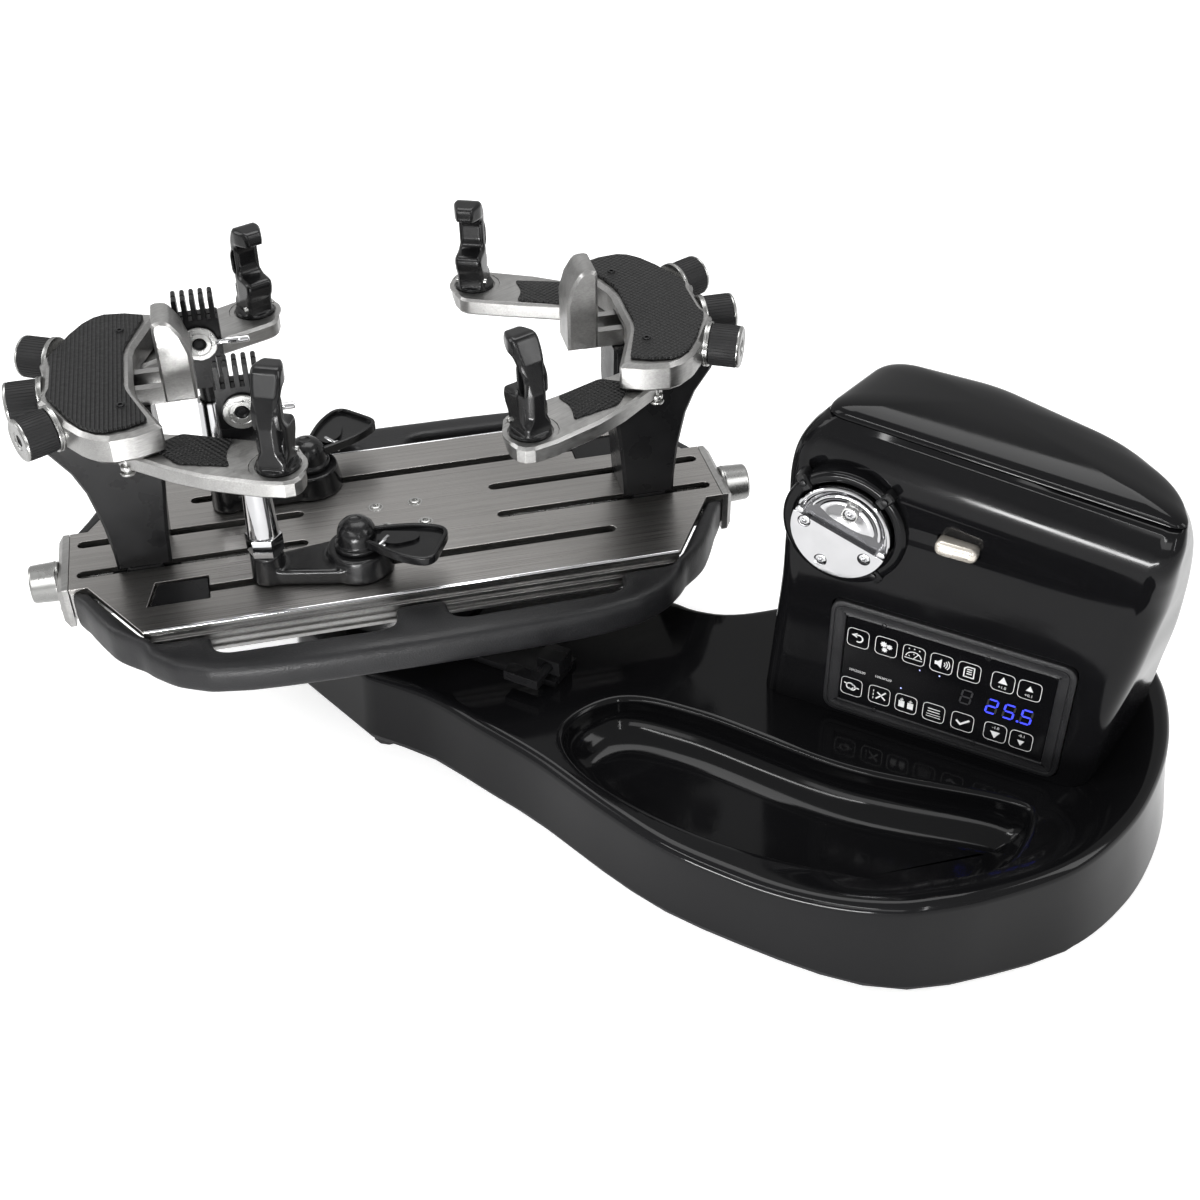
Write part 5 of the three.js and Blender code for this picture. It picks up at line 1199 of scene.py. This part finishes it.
def caption(words, x, z, height):
    """Small printed numbers on the panel."""
    curve = bpy.data.curves.new("caption", "FONT")
    curve.body = words
    curve.align_x, curve.align_y = "CENTER", "CENTER"
    curve.size = height
    curve.extrude = 0.04
    curve.resolution_u = 2
    holder = placed("caption", curve)
    mesh = evaluated_mesh(holder)
    bpy.data.objects.remove(holder)
    shape = bmesh.new()
    shape.from_mesh(mesh)
    bpy.data.meshes.remove(mesh)
    for corner in shape.verts:
        corner.co = facing(x, z)(corner.co.x, corner.co.y, PANEL_MARK + corner.co.z)
    return shape


class STRINGER_OT_panel(bpy.types.Operator):
    """Lays the bezel, the keys' printed marks and the lit digits"""

    bl_idname = "stringer.panel"
    bl_label = "Control panel"

    def execute(self, context):
        place = facing(0, 0)
        outline = rectangle(PANEL_LEFT, PANEL_LOW, PANEL_RIGHT, PANEL_HIGH, 12, 10)
        steps = [
            (0, -17), (0, -9.6), (0.3, -8.9), (1, -8.5), (3.2, -8.5), (3.6, -9.2), (4.4, -9.2),
            (4.8, -8.5), (6.2, -8.5), (6.8, -8.9), (10.2, -8.9), (10.7, -8.5), (11.6, -8.5),
            (12.1, -9), (12.1, -12.5),
        ]
        bezel = show("bezel", lofted(stepped(outline, steps), place), "base", "plastic")
        weighted(bezel, 40)
        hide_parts("panel_bezel")
        seats = [(412, 175.5), (489, 174.6), (412, 94), (489, 93)]
        show("bezel_screws", screws_on([
            (place(x, z, -9.3), heading(place, 0, 0, 1), sizes().small_screw) for x, z in seats
        ]), "base", "black", "satin_paint")

        marks, thin = [], (PANEL_MARK - 0.1, PANEL_MARK + 0.04)
        for keys, rows in ((UPPER_KEYS, UPPER_MARKS), (LOWER_KEYS, LOWER_MARKS)):
            for (x, z), strokes in zip(keys, rows):
                frame_line = rectangle(x - HALF_KEY, z - HALF_KEY, x + HALF_KEY, z + HALF_KEY, 4, 5)
                marks.append(ribbon([*frame_line, frame_line[0]], 0.45, place, *thin))
                for width, points in strokes:
                    there = [(x + a, z + b) for a, b in points]
                    if width:
                        marks.append(ribbon(there, width, place, *thin))
                    else:
                        marks.append(plate(there, *thin, place))
        marks += [caption(*row) for row in CAPTIONS]
        show("key_marks", joined(marks), "base", "glass", "printed_mark")
        lit, dim = [], []
        for i, digit in enumerate("255"):
            x = 497.2 + i * 12.6
            lit += segments_of(digit, x, 131.8, 12.6, place, *thin)
            dim += segments_of("8", x, 131.8, 12.6, place, thin[0] - 0.02, thin[1] - 0.03)
        dim += segments_of("8", 478, 133, 12.6, place, thin[0] - 0.02, thin[1] - 0.03)
        lit.append(plate(arc(516.6, 125.6, 0.9, 0, 330, 11), *thin, place))
        show("lit_digits", joined(lit), "base", "glass", "lit_segment")
        show("dim_digits", joined(dim), "base", "glass", "faint_segment")
        lamps = [plate(arc(x, z, 0.55, 0, 330, 11), *thin, place) for x, z in STATUS_LAMPS]
        show("status_lamps", joined(lamps), "base", "glass", "lit_dot")
        return {"FINISHED"}


# Knobs

KNOB_RIM = [
    (17.3, 0.3), (17.3, 1.5), (16.9, 1.9), (16.9, 2.3), (17.3, 2.7), (17.3, 3.6), (17.1, 4),
    (15, 4.1),
]
KNOB_BARREL = [(15, 4.1), (15.3, 4.1), (15.7, 4.6), (15.7, 25.4), (15.2, 25.9), (14.4, 25.9)]
# The cap ends in a hexagonal socket
KNOB_CAP = [
    (13, 25.2), (15, 25.4), (15.9, 25.7), (16, 26.5), (15.6, 27.4), (14.6, 28.1), (12.4, 28.1),
    (12, 27.9), (11.2, 27.8), (7.2, 27.8), (6.8, 27.3), (5.6, 27.2), (4.6, 27.1), (4.3, 26.8),
    (4.3, 24.9), (0.3, 24.7),
]
SIDE_KNOB_LEAN = math.radians(27)
END_KNOB_FOOT = 273.3
END_KNOB = [(5.5, 90)] + [(radius, END_KNOB_FOOT + rise) for radius, rise in (
    (5.5, 0), (14.6, 0), (15.5, 0.6), (15.7, 2), (16.2, 2.6), (16.2, 3.4), (16, 4), (15.2, 21),
    (14.9, 22), (14.2, 22.8), (13, 22.8), (12.6, 22.4), (7.4, 22.4), (7, 22), (4.2, 22), (4, 21.6),
    (4, 17), (0.3, 16.8),
)]


def knob_seats():
    """Each rubber knob: its name, body, node, place of its foot, direction and shaft's length."""
    for end, sign in ENDS:
        place = end_of_deck(sign)
        origin, axis = place(250, 0, 295.05), heading(place, 1, 0)
        yield f"centre_{end}", f"centre_knob_{end}", f"knob_centre_{end}", origin, axis, 55
        for side in (-1, 1):
            lean = SIDE_KNOB_LEAN * side
            axis = heading(place, math.cos(lean), math.sin(lean))
            origin = place(241.5, side * 49.5, 299.5)
            tag = f"{where_of(sign, side)}_{end}"
            yield tag, f"side_knob_{tag}", f"knob_{tag}", origin, axis, 12


class STRINGER_OT_knobs(bpy.types.Operator):
    """Makes the ribbed rubber knobs with their metal rims and the turned end knobs"""

    bl_idname = "stringer.knobs"
    bl_label = "Knobs"

    def execute(self, context):
        for name, body, node, origin, axis, shaft in knob_seats():
            place = along_axis(origin, axis)
            barrel = lofted(lathe(KNOB_BARREL, 96), place)
            barrel = show(f"knob_barrel_{name}", barrel, body, "rubber")
            outline = rectangle(-0.42, -0.2, 0.42, 0.16, 0.1, 1)
            rib = plate(outline, 5.2, 24.8, lambda x, y, z: Vector((x, y, z)) * MM, 0.2)
            ringed(f"knob_ribs_{name}", rib, sizes().knob_ribs, 15.6 * MM, place, body, "rubber")
            rim = lofted(lathe([(3.9, -shaft), (3.9, 0.2), *KNOB_RIM], 96), place)
            lobes = [None] * (len(KNOB_CAP) - 2) + [hexagonal] * 2
            cap = lofted(lathe(KNOB_CAP, 96, lobes), place)
            show(f"knob_metal_{name}", joined([rim, cap]), body, "casting", "turned_metal", 28)
            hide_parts(node)
        for end, sign in ENDS:
            place = along_axis(end_of_deck(sign)(0, 0, 131), heading(end_of_deck(sign), 1, 0))
            lobes = [None] * (len(END_KNOB) - 3) + [hexagonal] * 3
            node = f"end_knob_{end}"
            knob = lofted(lathe(END_KNOB, 96, lobes), place)
            knob = show(f"end_knob_turned_{end}", knob, node, "casting", "turned_metal", 28)
            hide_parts(node)
        return {"FINISHED"}


# Pads, deck fittings

ARM_PAD = [(177, 73, 3), (160, 100, 4), (124, 112, 3), (126, 94, 14), (119, 78, 3), (155, 61, 4)]


def hollow_screw(radius, depth=0.25):
    """Rings of a countersunk ring that a screw lies in."""
    ring = [(1.35, 0), (1.35, depth), (1.12, depth), (1.02, 0.02), (1.35, 0)]
    return lathe([(radius * share, rise) for share, rise in ring], 40)


class STRINGER_OT_pads(bpy.types.Operator):
    """Lays the rubber pads on the heads and the arms, with their screws"""

    bl_idname = "stringer.pads"
    bl_label = "Rubber pads"

    def execute(self, context):
        for end, sign in ENDS:
            place = end_of_deck(sign)
            finish = "ribbed_pad" if end == "left" else "gripped_pad"
            refined(f"head_pad_{end}", 1.6, 32, 50, finish)
            seats = [(place(193, v, 314.1), UP, 0.003) for v in (-56, 56)]
            show(f"pad_screws_{end}", screws_on(seats), f"stand_{end}", "black", "satin_paint")
            wells = [
                lofted(hollow_screw(3.2), along_axis(place(193, v, 314.25), UP), False)
                for v in (-56, 56)
            ]
            show(f"pad_wells_{end}", joined(wells), f"stand_{end}", "rubber")
            for side in (-1, 1):
                there = lambda u, v, z: place(u, v * side, z)
                pad = plate(rounded(ARM_PAD, 8), 286.2, 288.3, there, 0.7)
                tag = f"{where_of(sign, side)}_{end}"
                show(f"arm_pad_{tag}", pad, f"arm_{tag}", "rubber", "gripped_pad", 50)
                seat = [
                    (20.7, -2.2), (20.7, -0.7), (20.4, -0.5), (16.9, -0.5), (16.6, -0.7),
                    (16.6, -2.2), (20.7, -2.2),
                ]
                disc = lofted(lathe(seat, 72), shifted(there, 90.5, 117, 286.7), False)
                show(f"arm_seat_{tag}", disc, f"arm_{tag}", "casting")
        return {"FINISHED"}


def corrugated(length, radius, pitch=1.6):
    """Rings of a threaded rod."""
    profile = [(radius - 0.8, 0)]
    for i in range(int(length / pitch)):
        profile += [(radius - 0.55, i * pitch), (radius, (i + 0.5) * pitch)]
    return lathe([*profile, (radius - 0.8, length)], 14)


DECK_SCREWS = [(-18.5, 15), (14, 15), (-14, -15), (18.5, -15)]


class STRINGER_OT_deck_fittings(bpy.types.Operator):
    """Adds the deck's screws, slot inserts, lead screws and polished edges"""

    bl_idname = "stringer.deck_fittings"
    bl_label = "Deck fittings"

    def execute(self, context):
        seats = [(deck(*spot, 147.9), UP, sizes().screw * 0.72) for spot in DECK_SCREWS]
        show("deck_screws", screws_on(seats), "turntable", "chrome", "satin_steel")
        ring = lathe([(6.2, 0), (6.2, 0.1), (5.9, 0.3), (5, 0.3), (4.6, 0), (6.2, 0)], 48)
        rings = [lofted(ring, along_axis(deck(*spot, 148), UP), False) for spot in DECK_SCREWS]
        show("deck_screw_rings", joined(rings), "turntable", "chrome", "satin_steel")
        for end, sign in ENDS:
            place = end_of_deck(sign)
            corners = [(-203, -75.4), (-158, -75.4), (-158, -46.2), (-196.5, -46.2)]
            insert = rounded([(*corner, 1.5) for corner in corners], 3)
            insert = plate(insert, 143.6, 146.6, place, 0.4)
            show(f"slot_insert_{end}", insert, "turntable", "black")
            thread = along_axis(place(92, 0, 131), heading(place, 1, 0))
            rod_of_end = lofted(corrugated(88, 5.4), thread)
            show(f"lead_screw_{end}", rod_of_end, f"end_knob_{end}", "chrome", "satin_steel")
            seats = {"end_plate": [], "tab": []}
            for side in (-1, 1):
                along, across = heading(place, 1, 0), heading(place, 0, side)
                seats["end_plate"].append((place(273.2, side * 27, 124), along, 0.0028))
                seats["tab"].append((place(246, side * 38.6, 134), across, 0.0026))
            for part, spots in seats.items():
                show(f"{part}_screws_{end}", screws_on(spots), "turntable", "chrome", "satin_steel")
            profile = lathe([(1.2, 0), (1.7, 0.5), (1.7, 415.5), (1.2, 416)], 20)
            edge = along_axis(place(-208, -103.6, 146.5), heading(place, 1, 0))
            show(f"deck_edge_{end}", lofted(profile, edge), "turntable", "deck", "polished_chrome")
        return {"FINISHED"}


# Castings, string clamps and shoulder clamps

# String clamps in the deck's axes: place of the slider, headings of the casting and of the lever
STRING_CLAMPS = {"front": (-40, -62, -2, -27), "rear": (-67, 62, 11.5, 45)}
CLAMP_REACH = 70
CLAMP_LOW = 148.3


def moulded(node, voxel, rounds, finish=None):
    """A node's solid with soft moulded edges, as on a casting, that replaces the node."""
    piece = show(node + "_moulded", merged(node), BODY_OF[node], SLOT_OF[node], finish)
    remesh = piece.modifiers.new("skin", "REMESH")
    remesh.mode = "VOXEL"
    remesh.voxel_size = voxel * MM
    smooth = piece.modifiers.new("soft", "SMOOTH")
    smooth.factor = 0.5
    smooth.iterations = rounds
    baked(piece)
    for polygon in piece.data.polygons:
        polygon.use_smooth = True
    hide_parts(node)
    return piece


def about_z(u, v, angle, z=0.0):
    """A place function about a point of the deck, turned about the vertical."""
    turn = Matrix.Rotation(math.radians(angle), 2)

    def place(a, b, c):
        point = turn @ Vector((a, b))
        return deck(u + point.x, v + point.y, z + c)

    return place


def lever_loop(inset):
    """Outline of a lock lever's finger loop."""
    back, tip, neck, side = 8 + inset, 70 - inset, 9 - inset / 3, 23 - inset
    return rounded([
        (back, -neck, 1), (42, -side, 20), (tip, -side, 13),
        (tip, side, 13), (42, side, 20), (back, neck, 1),
    ], 12)


LOCK_WINDOW = [(19, -7, 3), (34, -9, 6), (50, 2, 6), (48, 12, 6), (34, 9, 6), (19, 6, 3)]


class STRINGER_OT_string_clamps(bpy.types.Operator):
    """Makes the swivelling string clamps with their levers, posts and dials"""

    bl_idname = "stringer.string_clamps"
    bl_label = "String clamps"

    def execute(self, context):
        for tag, (u, v, turn, lever) in STRING_CLAMPS.items():
            moulded(f"clamp_base_{tag}", 1.1, 14, "gloss_casting")
            low = CLAMP_LOW + 20.3
            place = about_z(u, v, lever, low)
            dome = [
                (0.3, 0), (17.4, 0), (18, 0.6), (18, 3.4), (17.4, 4.2), (16.2, 4.6), (15.8, 5.2),
                (15.6, 6.4), (15.4, 11), (14.8, 15), (13.2, 18.8), (10.6, 21.6), (7.6, 23.2),
                (5.2, 23.9), (4.9, 23.5), (2, 23.3),
            ]
            lock = f"lock_lever_{tag}"
            dome = lofted(lathe(dome, 72), place)
            knob = show(f"lock_dome_{tag}", dome, lock, "black", "gloss_casting", 50)
            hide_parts(lock)
            rim = stepped(lever_loop(0), [
                (4.6, 8.2), (3.4, 12.6), (2.6, 13), (1.2, 13), (0.3, 12.5), (0, 11.8), (0, 6.4),
                (0.3, 5.6), (1.2, 5.2), (3.4, 5.2), (4.6, 8.2),
            ])
            web = plate(lever_loop(3), 7.4, 9.6, place, 0.3)
            loop = joined([lofted(rim, place, False), web])
            loop = show(f"lock_loop_{tag}", loop, lock, "black", "gloss_casting", 50)
            cut(loop, plate(rounded(LOCK_WINDOW, 6), 4, 12, place))
            weighted(loop, 50)
            level = along_axis(place(25, -2, 11.2), heading(place, 0.2, 1))
            pin = [
                lofted(rod(1.8, -11, 3, 0.6), level),
                lofted(rod(1.8, -9, 0.5, 0.6), along_axis(place(26, -11, 11.2), UP)),
            ]
            show(f"lock_pin_{tag}", joined(pin), lock, "chrome")

            post = about_z(u, v, turn)(-CLAMP_REACH, 0, 0)
            foot, top = CLAMP_LOW + 26.3, 251
            six = [
                (11.9, 0), (12.4, 0.5), (12.5, 0.8), (12.5, 15.2), (12.4, 15.6), (11.9, 16),
                (12.3, 16.2), (12.3, 17.4), (11.6, 17.6), (12.3, 17.9), (12.2, 20),
                (10.1, top - foot - 0.8), (9.6, top - foot), (7.9, top - foot),
                (7.4, top - foot - 0.6), (7.4, top - foot - 20), (7, top - foot - 20.4),
            ]
            lobes = [hexagonal] * 6 + [None] * (len(six) - 6)
            base = along_axis(Vector((post.x, post.y, foot * MM)), UP)
            shank = lofted(lathe(six, 72, lobes), base)
            shank = show(f"clamp_shank_{tag}", shank, f"clamp_base_{tag}", "chrome", angle=25)
            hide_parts(f"clamp_post_{tag}")

            front = Vector((post.x, post.y, 305 * MM))
            across = heading(deck, 0, -1)
            seat = front + across * 8.85 * MM
            disc = [
                (13.2, 0.2), (13.9, 0.9), (13.9, 2.6), (13.2, 3.4), (9.6, 3.4), (9.2, 3.1),
                (8.8, 3.4), (5.6, 3.4), (5.1, 2.8), (5.1, 0.4),
            ]
            spin = along_axis(seat, across)
            cam = f"cam_lever_{tag}"
            disc = lofted(lathe(disc, 72), spin)
            dial = show(f"clamp_dial_{tag}", disc, cam, "casting", "turned_metal", 25)
            along = heading(deck, 1, 0)
            grip = seat + along * 12 * MM + across * 1.9 * MM
            handle = lofted(rod(2.6, 0, 26, 1.6), along_axis(grip, along))
            show(f"clamp_handle_{tag}", handle, cam, "chrome")
            # A black cone in the dial's centre hole: painted shade in the hole
            core = lofted(lathe([(5, 0.6), (5, 2.9), (4.2, 3.2), (3, 2.4)], 48), spin)
            show(f"dial_core_{tag}", core, cam, "black")
            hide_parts(cam)
        return {"FINISHED"}


class STRINGER_OT_castings(bpy.types.Operator):
    """Softens the moulded bumpers and the shoulder clamps, and adds the clamps' eyes and pins"""

    bl_idname = "stringer.castings"
    bl_label = "Bumpers and shoulder clamps"

    def execute(self, context):
        for place in ("front", "rear"):
            moulded(f"bumper_{place}", 2.0, 45)
        for end, sign in ENDS:
            for side in (-1, 1):
                where = where_of(sign, side)
                tag = f"{where}_{end}"
                moulded(f"shoulder_clamp_{tag}", 0.9, 5, "gloss_casting")
                add_clamp_details(tag, end_of_deck(sign), side)
        return {"FINISHED"}


EYE_RIM = [(-1.8, -3), (-1.8, 0.5), (-1.4, 0.9), (-0.3, 0.9), (0.1, 0.4), (0.1, -3), (-1.8, -3)]


def add_clamp_details(tag, place, side):
    """Carves a shoulder clamp slimmer, then adds its window, raised rims, screw and pin."""
    body = f"shoulder_clamp_{tag}"
    angle = math.pi + math.radians(67)
    turn = Matrix.Rotation(angle, 2)

    def clamp(x, y, z):
        point = turn @ Vector((x, y))
        return place(90.5 + point.x, (117 + point.y) * side, 286.7 + z)

    piece = bpy.data.objects[body + "_moulded"]
    origin, along, across = clamp(0, 0, 0), heading(clamp, 1, 0), heading(clamp, 0, 1)
    for vertex in piece.data.vertices:
        offset = (vertex.co - origin) / MM
        depth, width, height = offset.dot(along), offset.dot(across), offset.z
        spine = 0.5 * (max(-depth, 0) / 13) ** 2 * smoothstep(height, 7, 18)
        waist = 0.24 * smoothstep(height, 30, 42) * (1 - smoothstep(height, 50, 64))
        waist *= smoothstep(depth, -8, 4)
        beak = 0.4 * smoothstep(depth, 6, 23) * smoothstep(height, 58, 66)
        vertex.co -= across * width * (1 - (1 - spine) * (1 - waist) * (1 - beak)) * MM
    window = rounded([(-8.6, 34, 3), (-1.4, 34, 3), (-1, 56, 3), (-4.6, 54, 3), (-8.6, 47, 3)], 5)
    cut(piece, plate(window, -14, 14, lambda a, b, c: clamp(a, c, b)))
    details = []
    for face in (-1, 1):
        at = lambda a, b, c, face=face: clamp(a, face * (8.9 + c), b)
        for loop in (window, rounded([(-7, 12, 4), (4, 12, 4), (4, 25, 4), (-7, 25, 4)], 5)):
            details.append(lofted(stepped(loop, EYE_RIM), at, False))
    show(f"clamp_eye_{tag}", joined(details), body, "black", "gloss_casting", 50)
    arm = f"arm_{tag}"
    hanger = along_axis(place(196, 75.6 * side, 285), Vector((0, 0, -1)))
    eye = [
        (2.2, -4), (2.2, 8), (4.2, 8.2), (4.6, 8.8), (4.6, 11), (4, 11.8), (3.2, 12), (3.2, 13),
        (5.2, 13.4), (5.6, 14.2), (5.2, 15.2), (4.4, 15.4), (2.6, 14.6), (0.3, 14.4),
    ]
    show(f"arm_screw_{tag}", lofted(lathe(eye, 40), hanger), arm, "chrome", "satin_steel")
    pin = lofted(rod(2.1, -13, 13, 0.7), along_axis(clamp(9.5, 0, 8), heading(clamp, 0, 1)))
    show(f"clamp_pin_{tag}", pin, body, "chrome", "satin_steel")


# Solids that keep the form of their nodes

# Node's prefix: bevel in edges, angle of a sharp edge, angle of smooth shading
EDGES = {
    "foot": (1, 40, 50),
    "base_pan": (1, 40, 50),
    "clamp_jaw": (0.6, 32, 32),
    "clamp_head": (0.6, 32, 40),
    "deck": (0.8, 32, 32),
}
PLAIN_EDGES = (1, 32, 40)


class STRINGER_OT_solids(bpy.types.Operator):
    """Gives the plain solids fine edges and their finish"""

    bl_idname = "stringer.solids"
    bl_label = "Plain solids"

    def execute(self, context):
        for node in frame["nodes"]:
            if node.startswith(REBUILT):
                continue
            known = (row for key, row in EDGES.items() if node.startswith(key))
            refined(node, *next(known, PLAIN_EDGES))
        return {"FINISHED"}


# Starts of the names of nodes that other operators rebuild
REBUILT = (
    "base_cover", "tower_housing", "tower_lid", "gripper_drum", "gripper_jaw", "panel_bezel",
    "tension_button", "knob_", "end_knob_", "head_pad_", "clamp_base", "clamp_post", "lock_lever",
    "cam_lever", "bumper", "shoulder",
)


# Stage

FLOOR_REACH, FLOOR_LEVEL = 12.0, -0.0005
CAMERA_PLACE = (659.378, -881.995, 913.898)
CAMERA_BACK = Vector((0.3720832, -0.6915677, 0.6190985))
CAMERA_UP = Vector((-0.2808803, 0.551823, 0.7852352))
# Name, place, target, size and power in watts
LAMPS = [
    ("top_softbox", (-0.3, 0.6, 2.2), (0, 0, 0.1), (1.8, 1.2), 30),
    ("left_softbox", (-1.9, -0.9, 1.3), (0, 0, 0.15), (0.9, 1.4), 14),
    ("right_softbox", (1.9, 0.3, 1.2), (0.2, 0, 0.15), (0.7, 1.3), 14),
    ("front_softbox", (0.3, -2.2, 1.1), (0, 0, 0.1), (1.6, 0.5), 9),
    ("brow_strip", (-0.22, -1.42, 1.15), (0.45, 0, 0.27), (1.1, 0.09), 8),
    ("low_strip", (0.14, -0.75, 0.04), (0.36, 0, 0.28), (0.45, 0.06), 4.8),
    ("edge_strip", (1.5, -1.5, 1.1), (0.4, 0, 0.1), (0.07, 1.1), 5),
]


def seen_white(nodes):
    """A factor of 1 for camera and transmission rays, and less for glossy rays."""
    rays = nodes.add("ShaderNodeLightPath").outputs
    dimmed = nodes.math("MULTIPLY", rays["Is Glossy Ray"], 0.5)
    direct = nodes.math("MAXIMUM", rays["Is Camera Ray"], rays["Is Transmission Ray"])
    return nodes.math("MAXIMUM", direct, dimmed)


def add_floor():
    mesh = bpy.data.meshes.new("floor")
    corners = [(x * FLOOR_REACH, y * FLOOR_REACH) for x, y in ((-1, -1), (1, -1), (1, 1), (-1, 1))]
    mesh.from_pydata([(*corner, FLOOR_LEVEL) for corner in corners], [], [(0, 1, 2, 3)])
    material = bpy.data.materials.new("pale_floor")
    material.use_nodes = True
    nodes = Nodes(material.node_tree)
    surface = nodes.add("ShaderNodeBsdfDiffuse", Color=(0.8, 0.8, 0.8, 1))
    strength = nodes.math("MULTIPLY", seen_white(nodes), 0.62)
    light = nodes.add("ShaderNodeEmission", Color=(1, 1, 1, 1), Strength=strength)
    both = nodes.add("ShaderNodeAddShader")
    nodes.plug(surface.outputs[0], both.inputs[0])
    nodes.plug(light.outputs[0], both.inputs[1])
    nodes.add("ShaderNodeOutputMaterial", Surface=both.outputs[0])
    mesh.materials.append(material)
    placed("floor", mesh)


def add_world(scene):
    scene.world = bpy.data.worlds.new("studio")
    scene.world.use_nodes = True
    nodes = Nodes(scene.world.node_tree)
    strength = nodes.add("ShaderNodeMapRange", Value=seen_white(nodes), To_Min=0.28, To_Max=1.0)
    sky = nodes.add("ShaderNodeBackground", Color=(1, 1, 1, 1), Strength=strength.outputs[0])
    nodes.add("ShaderNodeOutputWorld", Surface=sky.outputs[0])


def add_lamp(name, place, target, size, power):
    data = bpy.data.lights.new(name, "AREA")
    data.shape = "RECTANGLE"
    data.size, data.size_y = size
    data.energy = power
    lamp = placed(name, data)
    lamp.location = place
    lamp.rotation_euler = (target - place).to_track_quat("-Z", "Y").to_euler()


def add_camera(scene):
    data = bpy.data.cameras.new("camera")
    data.sensor_width = 36
    data.lens = 48.6
    right = CAMERA_UP.cross(CAMERA_BACK)
    turn = Matrix((right, CAMERA_UP, CAMERA_BACK)).transposed()
    scene.camera = placed("camera", data)
    scene.camera.matrix_world = Matrix.Translation(machine(*CAMERA_PLACE)) @ turn.to_4x4()


class STRINGER_OT_stage(bpy.types.Operator):
    """Adds the floor, the lights and the camera"""

    bl_idname = "stringer.stage"
    bl_label = "Stage"

    def execute(self, context):
        scene = context.scene
        scene.view_settings.view_transform = "Standard"
        add_floor()
        add_world(scene)
        for name, place, target, size, power in LAMPS:
            add_lamp(name, Vector(place), Vector(target), size, power)
        add_camera(scene)
        return {"FINISHED"}


# Registration


class STRINGER_PT_panel(bpy.types.Panel):
    """Sizes, colours and the pieces in the order in which they are built"""

    bl_label = "Racket stringing machine"
    bl_space_type = "VIEW_3D"
    bl_region_type = "UI"
    bl_category = "Stringer"

    def draw(self, context):
        for group in (context.scene.stringer_sizes, context.scene.stringer_colours):
            for name in group.__annotations__:
                self.layout.prop(group, name)
        for operator in OPERATORS:
            self.layout.operator(operator.bl_idname)


OPERATORS = (
    STRINGER_OT_stage,
    STRINGER_OT_solids,
    STRINGER_OT_base,
    STRINGER_OT_tower,
    STRINGER_OT_tension_head,
    STRINGER_OT_panel,
    STRINGER_OT_knobs,
    STRINGER_OT_pads,
    STRINGER_OT_deck_fittings,
    STRINGER_OT_string_clamps,
    STRINGER_OT_castings,
)
CLASSES = (STRINGER_PG_sizes, STRINGER_PG_colours, *OPERATORS, STRINGER_PT_panel)


def register():
    for cls in CLASSES:
        bpy.utils.register_class(cls)
    bpy.types.Scene.stringer_sizes = bpy.props.PointerProperty(type=STRINGER_PG_sizes)
    bpy.types.Scene.stringer_colours = bpy.props.PointerProperty(type=STRINGER_PG_colours)


def unregister():
    del bpy.types.Scene.stringer_colours
    del bpy.types.Scene.stringer_sizes
    for cls in reversed(CLASSES):
        bpy.utils.unregister_class(cls)


def main():
    register()
    for operator in OPERATORS:
        group, name = operator.bl_idname.split(".")
        getattr(getattr(bpy.ops, group), name)()


if __name__ == "__main__":
    main()
